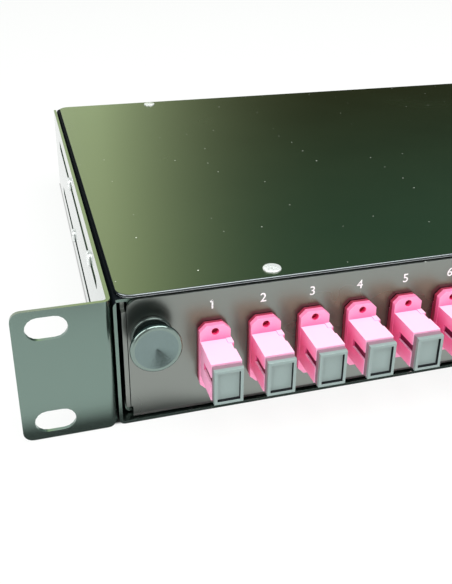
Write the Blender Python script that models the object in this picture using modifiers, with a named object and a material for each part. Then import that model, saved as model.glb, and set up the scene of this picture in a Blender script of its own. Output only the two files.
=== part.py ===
"""A 1U slide-out fibre patch panel for a 19-inch rack, as separate pieces at their real size.

X runs across the rack, Y towards the back and Z up. Pieces are drawn from the rack plane, which
holds the ear faces, and one empty sets that plane so that the assembly stands centred on the origin.
"""
import math

import bmesh
import bpy
from mathutils import Matrix, Vector

# Rack ears and their brackets, in metres
RACK_WIDTH = 0.4826
EAR_WIDTH = 0.02685
EAR_HEIGHT = 0.0437
EAR_SHEET = 0.0012
EAR_BEND = 0.0010
EAR_CORNER = 0.0030
EAR_GAP = 0.0005
RACK_SLOT_SPACING = 0.03175
RACK_SLOT_LENGTH = 0.0120
RACK_SLOT_HEIGHT = 0.0074
RACK_SLOT_INSET = 0.0097
BRACKET_REAR_INSET = 0.0020
SIDE_SLOT_FRONT = 0.0280
SIDE_SLOT_REAR = 0.0340
SIDE_SLOT_HEIGHT = 0.0042
SIDE_SLOT_SPACING = 0.0244
SIDE_SCREW_FRONT = 0.0480
SIDE_SCREW_STEP = 0.0750
SIDE_SCREW_HOLE = 0.0033

# Case and lid
CASE_DEPTH = 0.2170
CASE_HEIGHT = 0.0442
CASE_SHEET = 0.0010
CASE_SETBACK = 0.0007
FOLD_RADIUS = 0.0006
SIDE_FLANGE = 0.0120
REAR_FLANGE = 0.0130
FRONT_RAIL = 0.0110
LID_SHEET = 0.0010
LID_CORNER = 0.0050
LID_SIDE_MARGIN = 0.00085
LID_END_MARGIN = 0.0008
LID_SCREW_SPACING = 0.3240
LID_SCREW_INSET = 0.0053
LID_SCREW_HOLE = 0.0034
LID_SCREW_TAP = 0.0026

# Drawer tray with its port panel
TRAY_SHEET = 0.0012
TRAY_SIDE_GAP = 0.0013
TRAY_FLOOR_GAP = 0.0004
TRAY_TOP_GAP = 0.0004
TRAY_REAR_ROOM = 0.0117
TRAY_REAR_LIP = 0.0100
PANEL_CORNER = 0.0035
PANEL_SEAM = 0.0003
RELIEF_HEIGHT = 0.0046
RELIEF_DEPTH = 0.0040

# Fibre adapters and their dust caps
PORT_COUNT = 24
PORT_HEIGHT = 0.0217
PORT_END_ROOM = 0.006325
SOCKET_WIDTH = 0.0075
SOCKET_HEIGHT = 0.0091
SOCKET_SIDE_WALL = 0.00085
SOCKET_TOP_WALL = 0.00155
ADAPTER_LENGTH = 0.0275
ADAPTER_WEB = 0.0058
ADAPTER_FRONT = 0.0122
FLANGE_HEIGHT = 0.0224
FLANGE_THICKNESS = 0.0031
FLANGE_LIP = 0.00015
FLANGE_CHAMFER = 0.0020
FLANGE_HOLE = 0.0023
FLANGE_HOLE_SPACING = 0.0180
FERRULE_BORE = 0.0026
KEYWAY_HEIGHT = 0.0024
KEYWAY_LENGTH = 0.0080
KEYWAY_RISE = 0.0002
CLIP_NOTCH_START = 0.0022
CLIP_NOTCH_LENGTH = 0.0030
CLIP_NOTCH_HEIGHT = 0.0040
CLIP_NOTCH_DEPTH = 0.0004
CUTOUT_GAP = 0.0002
CAP_HEAD = 0.0024
CAP_INSET = 0.0002
CAP_PLATE = 0.0010
CAP_NECK_INSET = 0.0006
CAP_RIM = 0.0010
CAP_RECESS = 0.0012
CAP_STEM_GAP = 0.0003
CAP_END_ROOM = 0.0020

# Push-pull latches at both ends of the port panel
LATCH_HEIGHT = 0.0307
KNOB_DIAMETER = 0.0153
KNOB_HEAD = 0.0028
KNOB_EDGE = 0.0010
KNOB_RIM = 0.0017
KNOB_DISH = 0.0006
KNOB_NECK = 0.0036
KNOB_NECK_STEP = 0.0015
KNOB_SHAFT = 0.0060
KNOB_TIP = 0.0020
SHAFT_GAP = 0.0003
BUSH_WALL = 0.0012
BUSH_COLLAR = 0.0014
BUSH_COLLAR_LIP = 0.00185
BUSH_REACH = 0.0080
CATCH_GAP = 0.0005
CATCH_RIM = 0.0015
CATCH_SIDE_GAP = 0.00075

# Splice cassette and cable grommets
CASSETTE_WIDTH = 0.1700
CASSETTE_DEPTH = 0.1000
CASSETTE_HEIGHT = 0.0110
CASSETTE_SHEET = 0.0016
CASSETTE_CORNER = 0.0200
CASSETTE_MOUTH = 0.0140
COMB_SPACING = 0.0600
COMB_DEPTH = 0.0300
COMB_HEIGHT = 0.0060
COMB_GROOVES = 6
COMB_GROOVE_WIDTH = 0.0026
COMB_TOOTH = 0.0014
CABLE_INSET = 0.06275
CABLE_HEIGHT = 0.0215
CABLE_BORE = 0.0200
GROMMET_WALL = 0.0026
GROMMET_LIP = 0.0032
GROMMET_FACE = 0.0020

# Shared clearances, and how finely round shapes are drawn
SEAT_GAP = 0.0003
RUN_GAP = 0.0004
CUT_MARGIN = 0.0050
CORNER_STEPS = 5
FOLD_STEPS = 3
SLOT_STEPS = 8
HOLE_STEPS = 12
SMALL_HOLE_STEPS = 10
CABLE_HOLE_STEPS = 24
TURN_STEPS = 28

# Places worked out from the sizes above
EAR_OUTER = RACK_WIDTH / 2
BRACKET_OUTER = EAR_OUTER - EAR_WIDTH
CASE_HALF = BRACKET_OUTER - EAR_SHEET - EAR_GAP
CASE_REAR = CASE_SETBACK + CASE_DEPTH
SHELL_TOP = CASE_HEIGHT - LID_SHEET - SEAT_GAP
MID_HEIGHT = CASE_HEIGHT / 2
BRACKET_REAR = CASE_REAR - BRACKET_REAR_INSET
LID_FRONT = CASE_SETBACK + LID_END_MARGIN
LID_REAR = CASE_REAR - LID_END_MARGIN
LID_SCREW_ROWS = (LID_FRONT + LID_SCREW_INSET, LID_REAR - LID_SCREW_INSET)

TRAY_HALF = CASE_HALF - CASE_SHEET - TRAY_SIDE_GAP
TRAY_INNER = TRAY_HALF - TRAY_SHEET
TRAY_BASE = CASE_SHEET + TRAY_FLOOR_GAP
TRAY_FLOOR = TRAY_BASE + TRAY_SHEET
TRAY_REAR = CASE_REAR - CASE_SHEET - TRAY_REAR_ROOM
TRAY_SIDE_TOP = SHELL_TOP - CASE_SHEET - TRAY_TOP_GAP
PANEL_FACE = CASE_SETBACK
PANEL_BACK = PANEL_FACE + TRAY_SHEET
PANEL_HALF = TRAY_INNER - PANEL_SEAM
RELIEF_INNER = PANEL_HALF - FOLD_RADIUS
RAIL_FRONT = PANEL_BACK + RUN_GAP

BUSH_BORE = KNOB_SHAFT + 2 * SHAFT_GAP
BUSH_BARREL = BUSH_BORE + 2 * BUSH_WALL
BUSH_HOLE = BUSH_BARREL + 2 * SEAT_GAP
CATCH_HOLE = BUSH_BARREL + 2 * CATCH_GAP
CATCH_REACH = CATCH_HOLE / 2 + CATCH_RIM
LATCH_X = TRAY_INNER - CATCH_SIDE_GAP - CATCH_REACH

ADAPTER_WIDTH = SOCKET_WIDTH + 2 * SOCKET_SIDE_WALL
ADAPTER_HEIGHT = SOCKET_HEIGHT + 2 * SOCKET_TOP_WALL
SOCKET_DEPTH = (ADAPTER_LENGTH - ADAPTER_WEB) / 2
FLANGE_BACK = -SEAT_GAP
FLANGE_FACE = FLANGE_BACK - FLANGE_THICKNESS
ADAPTER_MOUTH = FLANGE_FACE - ADAPTER_FRONT
ADAPTER_TAIL = ADAPTER_MOUTH + ADAPTER_LENGTH
CAP_BACK = ADAPTER_MOUTH - RUN_GAP
CAP_FACE = CAP_BACK - CAP_HEAD
CAP_END = ADAPTER_MOUTH + SOCKET_DEPTH - CAP_END_ROOM

PORT_ROW = 2 * (LATCH_X - KNOB_DIAMETER / 2 - PORT_END_ROOM) - ADAPTER_WIDTH
PORT_PITCH = PORT_ROW / (PORT_COUNT - 1)
PORT_PLACES = [port * PORT_PITCH - PORT_ROW / 2 for port in range(PORT_COUNT)]

GROMMET_BARREL = CABLE_BORE + 2 * GROMMET_WALL
CABLE_HOLE = GROMMET_BARREL + 2 * SEAT_GAP
CABLE_X = CASE_HALF - CABLE_INSET
CASSETTE_Y = (PANEL_BACK + TRAY_REAR) / 2
FRONT_EXTENT = PANEL_FACE + CAP_FACE
REAR_EXTENT = CASE_REAR + SEAT_GAP + GROMMET_FACE
STANDING_Y = -(FRONT_EXTENT + REAR_EXTENT) / 2

SIDES = {"left": -1, "right": 1}
FACING = {
    "X": Matrix(((0, 0, 1, 0), (1, 0, 0, 0), (0, 1, 0, 0), (0, 0, 0, 1))),
    "Y": Matrix.Rotation(math.pi / 2, 4, "X"),
    "Z": Matrix.Identity(4),
}


# Scene, finishes and placing

def clear_scene():
    for old in list(bpy.data.objects):
        bpy.data.objects.remove(old)


def new_collection(name):
    group = bpy.data.collections.new(name)
    bpy.context.scene.collection.children.link(group)
    return group


def finish(name, colour, roughness):
    material = bpy.data.materials.new(name)
    material.use_nodes = True
    shader = material.node_tree.nodes["Principled BSDF"]
    shader.inputs["Base Color"].default_value = (*colour, 1.0)
    shader.inputs["Roughness"].default_value = roughness
    shader.inputs["Metallic"].default_value = 0.0
    material.diffuse_color = (*colour, 1.0)
    return material


def place_empty(group, name, place, parent=None):
    holder = bpy.data.objects.new(name, None)
    holder.location = place
    holder.parent = parent
    group.objects.link(holder)
    return holder


def place_part(group, name, mesh, material, parent, place=(0, 0, 0)):
    part = bpy.data.objects.new(name, mesh)
    part.location = place
    part.parent = parent
    group.objects.link(part)
    if not mesh.materials:
        mesh.materials.append(material)
    return part


def place_cutter(group, mesh, parent):
    cutter = bpy.data.objects.new(mesh.name, mesh)
    cutter.parent = parent
    cutter.hide_render = True
    cutter.display_type = "WIRE"
    group.objects.link(cutter)
    return cutter


def combine(part, other, operation):
    step = part.modifiers.new(other.name, "BOOLEAN")
    step.operation = operation
    step.solver = "EXACT"
    step.object = other


# Outlines, as points in the plane of a plate

def arc(centre, radius, start, end, steps):
    """Points along an arc between two angles in degrees, both ends included."""
    angles = [math.radians(start + (end - start) * step / steps) for step in range(steps + 1)]
    return [(centre[0] + radius * math.cos(a), centre[1] + radius * math.sin(a)) for a in angles]


def circle(centre, diameter, steps):
    return arc(centre, diameter / 2, 0, 360, steps)[:-1]


def rounded_rectangle(low, high, radius):
    points = []
    corners = ((high[0], high[1], 0), (low[0], high[1], 90), (low[0], low[1], 180), (high[0], low[1], 270))
    for x, y, start in corners:
        centre = (x - math.copysign(radius, x - (low[0] + high[0]) / 2),
                  y - math.copysign(radius, y - (low[1] + high[1]) / 2))
        points += arc(centre, radius, start, start + 90, CORNER_STEPS)
    return points


def obround(centre, length, height):
    half = (length - height) / 2
    right = arc((centre[0] + half, centre[1]), height / 2, -90, 90, SLOT_STEPS)
    left = arc((centre[0] - half, centre[1]), height / 2, 90, 270, SLOT_STEPS)
    return right + left


def corner_waste(corner, inward_x, inward_z, radius):
    """What a corner loses when it is rounded; inward_x and inward_z point into the sheet."""
    x, z = corner
    angles = [math.pi / 2 * step / CORNER_STEPS for step in range(CORNER_STEPS + 1)]
    curve = [(x + inward_x * radius * (1 - math.sin(a)), z + inward_z * radius * (1 - math.cos(a)))
             for a in angles]
    beyond_x = x - inward_x * CUT_MARGIN
    beyond_z = z - inward_z * CUT_MARGIN
    return curve + [(beyond_x, z + inward_z * radius), (beyond_x, beyond_z),
                    (x + inward_x * radius, beyond_z)]


# Meshes from primitives, plates and turned profiles

def mesh_from(name, bm):
    bmesh.ops.recalc_face_normals(bm, faces=bm.faces)
    mesh = bpy.data.meshes.new(name)
    bm.to_mesh(mesh)
    bm.free()
    return mesh


def boxes(name, spans):
    """One mesh of boxes, each given by its low and high corner."""
    bm = bmesh.new()
    for low, high in spans:
        middle = Matrix.Translation((Vector(low) + Vector(high)) / 2)
        size = Matrix.Diagonal((*(Vector(high) - Vector(low)), 1.0))
        bmesh.ops.create_cube(bm, size=1.0, matrix=middle @ size)
    return mesh_from(name, bm)


def rods(name, axis, centres, diameter, length, steps):
    """One mesh of round rods along one axis, centred on the given points."""
    bm = bmesh.new()
    for centre in centres:
        bmesh.ops.create_cone(bm, cap_ends=True, segments=steps, radius1=diameter / 2,
                              radius2=diameter / 2, depth=length,
                              matrix=Matrix.Translation(centre) @ FACING[axis])
    return mesh_from(name, bm)


def mesh_of(holder):
    """The evaluated mesh of a helper object, which is then removed."""
    bpy.context.scene.collection.objects.link(holder)
    graph = bpy.context.evaluated_depsgraph_get()
    mesh = bpy.data.meshes.new_from_object(holder.evaluated_get(graph))
    mesh.name = holder.name
    bpy.data.objects.remove(holder)
    return mesh


def plate(name, axis, outlines, low, high):
    """A flat plate between two planes; the first outline is its edge and the others are holes."""
    curve = bpy.data.curves.new(name, "CURVE")
    curve.dimensions = "2D"
    curve.fill_mode = "BOTH"
    curve.extrude = (high - low) / 2
    for outline in outlines:
        spline = curve.splines.new("POLY")
        spline.points.add(len(outline) - 1)
        for point, (across, up) in zip(spline.points, outline):
            point.co = (across, up, 0.0, 1.0)
        spline.use_cyclic_u = True
    flat = mesh_of(bpy.data.objects.new(name, curve))
    bm = bmesh.new()
    bm.from_mesh(flat)
    bpy.data.meshes.remove(flat)
    bmesh.ops.remove_doubles(bm, verts=bm.verts, dist=0.000001)
    bmesh.ops.dissolve_limit(bm, angle_limit=0.001, verts=bm.verts, edges=bm.edges)
    bmesh.ops.transform(bm, matrix=FACING[axis], verts=bm.verts)
    middle = (low + high) / 2
    bmesh.ops.translate(bm, vec=[middle * (letter == axis) for letter in "XYZ"], verts=bm.verts)
    return mesh_from(name, bm)


def merged(name, meshes):
    bm = bmesh.new()
    for mesh in meshes:
        bm.from_mesh(mesh)
        bpy.data.meshes.remove(mesh)
    return mesh_from(name, bm)


def rounded(mesh, axis, radius, steps, chosen):
    """Round the edges that run along one axis and whose middle point is chosen."""
    bm = bmesh.new()
    bm.from_mesh(mesh)
    index = "XYZ".index(axis)
    edges = []
    for edge in bm.edges:
        run = edge.verts[1].co - edge.verts[0].co
        middle = (edge.verts[0].co + edge.verts[1].co) / 2
        if abs(run[index]) > 0.99 * run.length and chosen(middle):
            edges.append(edge)
    bmesh.ops.bevel(bm, geom=edges, offset=radius, segments=steps, profile=0.5, affect="EDGES")
    bm.to_mesh(mesh)
    bm.free()
    return mesh


def turned(name, profile, ring=False):
    """A turned mesh about Y; a profile point is its radius and how far forward of the origin it is."""
    bm = bmesh.new()
    points = [bm.verts.new((radius, 0.0, forward)) for radius, forward in profile]
    for start, end in zip(points, points[1:]):
        bm.edges.new((start, end))
    if ring:
        bm.edges.new((points[-1], points[0]))
    line = bpy.data.meshes.new(name)
    bm.to_mesh(line)
    bm.free()
    holder = bpy.data.objects.new(name, line)
    screw = holder.modifiers.new("turn", "SCREW")
    screw.steps = TURN_STEPS
    screw.render_steps = TURN_STEPS
    screw.use_merge_vertices = True
    screw.merge_threshold = 0.00001
    mesh = mesh_of(holder)
    mesh.transform(FACING["Y"])
    mesh.shade_smooth()
    mesh.set_sharp_from_angle(angle=math.radians(35))
    return mesh


def with_cuts(name, mesh, steps):
    """A mesh with joins and cuts taken in order; each step is an operation and its mesh."""
    holder = bpy.data.objects.new(name, mesh)
    tools = []
    for operation, other in steps:
        tool = bpy.data.objects.new(other.name, other)
        bpy.context.scene.collection.objects.link(tool)
        combine(holder, tool, operation)
        tools.append(tool)
    result = mesh_of(holder)
    for tool in tools:
        bpy.data.objects.remove(tool)
    return result


# Sheet-metal pieces

def ear_bracket_mesh(name, side):
    centre_x = BRACKET_OUTER + EAR_BEND
    centre_y = EAR_SHEET + EAR_BEND
    outer_bend = arc((centre_x, centre_y), EAR_BEND + EAR_SHEET, 270, 180, CORNER_STEPS)
    inner_bend = arc((centre_x, centre_y), EAR_BEND, 180, 270, CORNER_STEPS)
    outline = [(EAR_OUTER, 0.0)] + outer_bend
    outline += [(BRACKET_OUTER - EAR_SHEET, BRACKET_REAR), (BRACKET_OUTER, BRACKET_REAR)]
    outline += inner_bend + [(EAR_OUTER, EAR_SHEET)]
    outline = [(side * x, y) for x, y in outline]
    mesh = plate(name, "Z", [outline], MID_HEIGHT - EAR_HEIGHT / 2, MID_HEIGHT + EAR_HEIGHT / 2)
    rounded(mesh, "Y", EAR_CORNER, CORNER_STEPS, lambda at: abs(at.x) > EAR_OUTER - EAR_SHEET / 2)
    rounded(mesh, "X", EAR_CORNER, CORNER_STEPS, lambda at: at.y > BRACKET_REAR - EAR_SHEET / 2)
    return mesh


def ear_bracket_cuts(name, side):
    bottom = MID_HEIGHT - EAR_HEIGHT / 2
    slot_x = side * (EAR_OUTER - RACK_SLOT_INSET)
    slot_rear = BRACKET_REAR - SIDE_SLOT_REAR
    side_face = side * (BRACKET_OUTER - EAR_SHEET / 2)
    cuts = []
    for row in (-1, 1):
        slot = obround((slot_x, MID_HEIGHT + row * RACK_SLOT_SPACING / 2), RACK_SLOT_LENGTH, RACK_SLOT_HEIGHT)
        cuts.append(plate(name, "Y", [slot], -CUT_MARGIN, EAR_SHEET + CUT_MARGIN))
        side_slot = obround(((SIDE_SLOT_FRONT + slot_rear) / 2, MID_HEIGHT + row * SIDE_SLOT_SPACING / 2),
                            slot_rear - SIDE_SLOT_FRONT, SIDE_SLOT_HEIGHT)
        cuts.append(plate(name, "X", [side_slot], side_face - CUT_MARGIN, side_face + CUT_MARGIN))
    waste = corner_waste((side * (BRACKET_OUTER - EAR_SHEET), bottom), side, 1, EAR_CORNER)
    cuts.append(plate(name, "Y", [waste], -CUT_MARGIN, EAR_SHEET + EAR_BEND))
    return merged(name, cuts)


def case_mesh():
    block = boxes("case_shell", [((-CASE_HALF, CASE_SETBACK, 0.0), (CASE_HALF, CASE_REAR, SHELL_TOP))])
    return rounded(block, "Y", FOLD_RADIUS + CASE_SHEET, FOLD_STEPS, lambda at: True)


def case_steps():
    inner = CASE_HALF - CASE_SHEET
    inner_top = SHELL_TOP - CASE_SHEET
    hollow = boxes("case_hollow", [((-inner, CASE_SETBACK - CUT_MARGIN, CASE_SHEET),
                                    (inner, CASE_REAR - CASE_SHEET, inner_top))])
    rounded(hollow, "Y", FOLD_RADIUS, FOLD_STEPS, lambda at: True)
    mouth_half = CASE_HALF - SIDE_FLANGE
    mouth = boxes("case_top_mouth", [((-mouth_half, RAIL_FRONT + FRONT_RAIL, inner_top - CASE_SHEET),
                                      (mouth_half, CASE_REAR - REAR_FLANGE, SHELL_TOP + CUT_MARGIN))])
    front_trim = boxes("case_front_trim", [((-inner, CASE_SETBACK - CUT_MARGIN, inner_top - CASE_SHEET),
                                            (inner, RAIL_FRONT, SHELL_TOP + CUT_MARGIN))])
    catches = boxes("case_catches", [
        ((side * LATCH_X - CATCH_REACH, RAIL_FRONT, LATCH_HEIGHT - CATCH_REACH),
         (side * LATCH_X + CATCH_REACH, RAIL_FRONT + CASE_SHEET, SHELL_TOP - CASE_SHEET / 2))
        for side in SIDES.values()])
    return [("DIFFERENCE", hollow), ("DIFFERENCE", mouth), ("DIFFERENCE", front_trim),
            ("UNION", catches), ("DIFFERENCE", case_holes())]


def case_holes():
    through = 4 * CASE_SHEET
    sides = SIDES.values()
    taps = [(side * LID_SCREW_SPACING / 2, row, SHELL_TOP - CASE_SHEET / 2)
            for side in sides for row in LID_SCREW_ROWS]
    catch_holes = [(side * LATCH_X, RAIL_FRONT + CASE_SHEET / 2, LATCH_HEIGHT) for side in sides]
    cables = [(side * CABLE_X, CASE_REAR - CASE_SHEET / 2, CABLE_HEIGHT) for side in sides]
    side_screws = [(side * (CASE_HALF - CASE_SHEET / 2), SIDE_SCREW_FRONT + step * SIDE_SCREW_STEP,
                    MID_HEIGHT + row * SIDE_SLOT_SPACING / 2)
                   for side in sides for step in (0, 1) for row in (-1, 1)]
    return merged("case_holes", [
        rods("lid_taps", "Z", taps, LID_SCREW_TAP, through, SMALL_HOLE_STEPS),
        rods("catch_holes", "Y", catch_holes, CATCH_HOLE, through, CABLE_HOLE_STEPS),
        rods("cable_holes", "Y", cables, CABLE_HOLE, through, CABLE_HOLE_STEPS),
        rods("side_screw_holes", "X", side_screws, SIDE_SCREW_HOLE, through, SMALL_HOLE_STEPS)])


def lid_mesh():
    half = CASE_HALF - LID_SIDE_MARGIN
    outline = rounded_rectangle((-half, LID_FRONT), (half, LID_REAR), LID_CORNER)
    holes = [circle((side * LID_SCREW_SPACING / 2, row), LID_SCREW_HOLE, HOLE_STEPS)
             for side in SIDES.values() for row in LID_SCREW_ROWS]
    return plate("lid", "Z", [outline] + holes, CASE_HEIGHT - LID_SHEET, CASE_HEIGHT)


def tray_mesh():
    block = boxes("drawer_tray", [((-TRAY_HALF, PANEL_FACE, TRAY_BASE), (TRAY_HALF, TRAY_REAR, SHELL_TOP))])
    return rounded(block, "Y", FOLD_RADIUS + TRAY_SHEET, FOLD_STEPS, lambda at: at.z < TRAY_FLOOR)


def tray_steps():
    above = SHELL_TOP + CUT_MARGIN
    ahead = PANEL_FACE - CUT_MARGIN
    beside = TRAY_HALF + CUT_MARGIN
    lip_y = TRAY_REAR - TRAY_SHEET
    inside = PANEL_BACK + TRAY_SHEET
    hollow = boxes("tray_hollow", [((-TRAY_INNER, PANEL_BACK, TRAY_FLOOR), (TRAY_INNER, lip_y, above))])
    rounded(hollow, "Y", FOLD_RADIUS, FOLD_STEPS, lambda at: at.z < TRAY_FLOOR + FOLD_RADIUS)
    fold = corner_waste((PANEL_FACE, TRAY_BASE), 1, 1, FOLD_RADIUS + TRAY_SHEET)
    front_fold = plate("tray_front_fold", "X", [fold], -beside, beside)
    sides = SIDES.values()
    trim_x = PANEL_HALF + PANEL_SEAM / 2
    side_trim = boxes("tray_side_trim", [
        mirrored_span(side, (trim_x, ahead, TRAY_SIDE_TOP), (beside, TRAY_REAR + CUT_MARGIN, above))
        for side in sides])
    seam_x = TRAY_INNER - PANEL_SEAM / 6
    seam = boxes("tray_seam", [
        mirrored_span(side, (PANEL_HALF, ahead, TRAY_BASE + RELIEF_HEIGHT / 2), (seam_x, inside, above))
        for side in sides])
    relief = boxes("tray_relief", [
        mirrored_span(side, (RELIEF_INNER, ahead, TRAY_BASE - CUT_MARGIN),
                      (beside, PANEL_FACE + RELIEF_DEPTH, TRAY_BASE + RELIEF_HEIGHT))
        for side in sides])
    rear_trim = boxes("tray_rear_trim", [((-beside, lip_y - TRAY_SHEET / 2, TRAY_BASE + TRAY_REAR_LIP),
                                          (beside, TRAY_REAR + CUT_MARGIN, above))])
    corners = merged("tray_panel_corners", [
        plate("panel_corner", "Y", [corner_waste((side * PANEL_HALF, SHELL_TOP), -side, -1, PANEL_CORNER)],
              ahead, inside)
        for side in sides])
    cuts = (hollow, relief, front_fold, seam, side_trim, rear_trim, corners, tray_holes())
    return [("DIFFERENCE", cut) for cut in cuts]


def tray_holes():
    half_width = ADAPTER_WIDTH / 2 + CUTOUT_GAP
    half_height = ADAPTER_HEIGHT / 2 + CUTOUT_GAP
    ports = boxes("port_holes", [((x - half_width, PANEL_FACE - TRAY_SHEET, PORT_HEIGHT - half_height),
                                  (x + half_width, PANEL_BACK + TRAY_SHEET, PORT_HEIGHT + half_height))
                                 for x in PORT_PLACES])
    latch_places = [(side * LATCH_X, PANEL_FACE, LATCH_HEIGHT) for side in SIDES.values()]
    latches = rods("latch_holes", "Y", latch_places, BUSH_HOLE, 4 * TRAY_SHEET, CABLE_HOLE_STEPS)
    return merged("tray_holes", [ports, latches])


def mirrored_span(side, low, high):
    """A box's corners on one side of the middle, from its corners on the right."""
    near, far = sorted((side * low[0], side * high[0]))
    return (near, low[1], low[2]), (far, high[1], high[2])


# Moulded pieces, drawn from the panel face on their own axes

def adapter_mesh():
    half_width = ADAPTER_WIDTH / 2
    half_height = ADAPTER_HEIGHT / 2
    flange_half = half_width + FLANGE_LIP
    flange_top = FLANGE_HEIGHT / 2
    shoulder = flange_half - FLANGE_CHAMFER
    rise = flange_top - FLANGE_CHAMFER
    outline = [(shoulder, flange_top), (-shoulder, flange_top), (-flange_half, rise), (-flange_half, -rise),
               (-shoulder, -flange_top), (shoulder, -flange_top), (flange_half, -rise), (flange_half, rise)]
    holes = [circle((0.0, row * FLANGE_HOLE_SPACING / 2), FLANGE_HOLE, SMALL_HOLE_STEPS) for row in (-1, 1)]
    flange = plate("adapter", "Y", [outline] + holes, FLANGE_FACE, FLANGE_BACK)
    body = boxes("adapter_body", [((-half_width, ADAPTER_MOUTH, -half_height),
                                   (half_width, ADAPTER_TAIL, half_height))])
    socket_x = SOCKET_WIDTH / 2
    socket_z = SOCKET_HEIGHT / 2
    sockets = boxes("adapter_sockets", [
        ((-socket_x, ADAPTER_MOUTH - CUT_MARGIN, -socket_z),
         (socket_x, ADAPTER_MOUTH + SOCKET_DEPTH, socket_z)),
        ((-socket_x, ADAPTER_TAIL - SOCKET_DEPTH, -socket_z),
         (socket_x, ADAPTER_TAIL + CUT_MARGIN, socket_z))])
    notch_front = FLANGE_FACE - CLIP_NOTCH_START - CLIP_NOTCH_LENGTH
    side_cuts = boxes("adapter_side_cuts", [
        ((-half_width - CUT_MARGIN, ADAPTER_MOUTH - CUT_MARGIN, KEYWAY_RISE - KEYWAY_HEIGHT / 2),
         (-socket_x + SOCKET_SIDE_WALL, ADAPTER_MOUTH + KEYWAY_LENGTH, KEYWAY_RISE + KEYWAY_HEIGHT / 2)),
        ((half_width - CLIP_NOTCH_DEPTH, notch_front, half_height - CLIP_NOTCH_HEIGHT),
         (half_width + CUT_MARGIN, FLANGE_FACE - CLIP_NOTCH_START, half_height + CUT_MARGIN))])
    middle = (ADAPTER_MOUTH + ADAPTER_TAIL) / 2
    ferrule = rods("adapter_ferrule", "Y", [(0.0, middle, 0.0)], FERRULE_BORE,
                   ADAPTER_WEB + FERRULE_BORE, SMALL_HOLE_STEPS)
    return with_cuts("adapter", flange, [("UNION", body), ("DIFFERENCE", sockets),
                                         ("DIFFERENCE", side_cuts), ("DIFFERENCE", ferrule)])


def dust_cap_mesh():
    half_width = ADAPTER_WIDTH / 2 - CAP_INSET
    half_height = ADAPTER_HEIGHT / 2 - CAP_INSET
    neck_x = half_width - CAP_NECK_INSET
    neck_z = half_height - CAP_NECK_INSET
    stem_x = SOCKET_WIDTH / 2 - CAP_STEM_GAP
    stem_z = SOCKET_HEIGHT / 2 - CAP_STEM_GAP
    back = CAP_FACE + CAP_PLATE
    head = boxes("dust_cap", [((-half_width, CAP_FACE, -half_height), (half_width, back, half_height))])
    neck = boxes("dust_cap_neck", [((-neck_x, back - CAP_PLATE / 3, -neck_z), (neck_x, CAP_BACK, neck_z))])
    stem = boxes("dust_cap_stem", [((-stem_x, CAP_BACK - CAP_HEAD / 4, -stem_z), (stem_x, CAP_END, stem_z))])
    recess = boxes("dust_cap_recess", [
        ((-half_width + CAP_RIM, CAP_FACE - CUT_MARGIN, -half_height + CAP_RIM),
         (half_width - CAP_RIM, CAP_FACE + CAP_RECESS, half_height - CAP_RIM))])
    return with_cuts("dust_cap", head, [("UNION", neck), ("UNION", stem), ("DIFFERENCE", recess)])


def knob_mesh():
    radius = KNOB_DIAMETER / 2
    shaft = KNOB_SHAFT / 2
    neck = shaft + KNOB_NECK_STEP
    seat = SEAT_GAP + BUSH_COLLAR + SEAT_GAP
    back = seat + KNOB_NECK
    face = back + KNOB_HEAD
    dish = radius - KNOB_RIM
    profile = [(0.0, face - KNOB_DISH), (dish - KNOB_DISH, face - KNOB_DISH), (dish, face)]
    profile += arc((radius - KNOB_EDGE, face - KNOB_EDGE), KNOB_EDGE, 90, 0, FOLD_STEPS)
    profile += arc((radius - KNOB_EDGE, back + KNOB_EDGE), KNOB_EDGE, 0, -90, FOLD_STEPS)
    profile += [(neck, back), (neck, seat), (shaft, seat)]
    profile += [(shaft, -BUSH_REACH - KNOB_TIP), (0.0, -BUSH_REACH - KNOB_TIP)]
    return turned("knob", profile)


def latch_bush_mesh():
    bore = BUSH_BORE / 2
    barrel = BUSH_BARREL / 2
    collar = barrel + BUSH_COLLAR_LIP
    face = SEAT_GAP + BUSH_COLLAR
    ease = BUSH_COLLAR / 2
    profile = [(bore, face)]
    profile += arc((collar - ease, face - ease), ease, 90, 0, FOLD_STEPS)
    profile += [(collar, SEAT_GAP), (barrel, SEAT_GAP), (barrel, -BUSH_REACH), (bore, -BUSH_REACH)]
    return turned("latch_bush", profile, ring=True)


def cable_grommet_mesh():
    """Drawn from the outer face of the case's rear wall."""
    bore = CABLE_BORE / 2
    barrel = GROMMET_BARREL / 2
    lip = barrel + GROMMET_LIP
    front = CASE_SHEET + SEAT_GAP
    rear = -SEAT_GAP
    ease = GROMMET_FACE / 2
    profile = [(bore, front + GROMMET_FACE)]
    profile += arc((lip - ease, front + GROMMET_FACE - ease), ease, 90, 0, FOLD_STEPS)
    profile += [(lip, front), (barrel, front), (barrel, rear), (lip, rear)]
    profile += arc((lip - ease, rear - GROMMET_FACE + ease), ease, 0, -90, FOLD_STEPS)
    profile += [(bore, rear - GROMMET_FACE)]
    return turned("cable_grommet", profile, ring=True)


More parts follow.
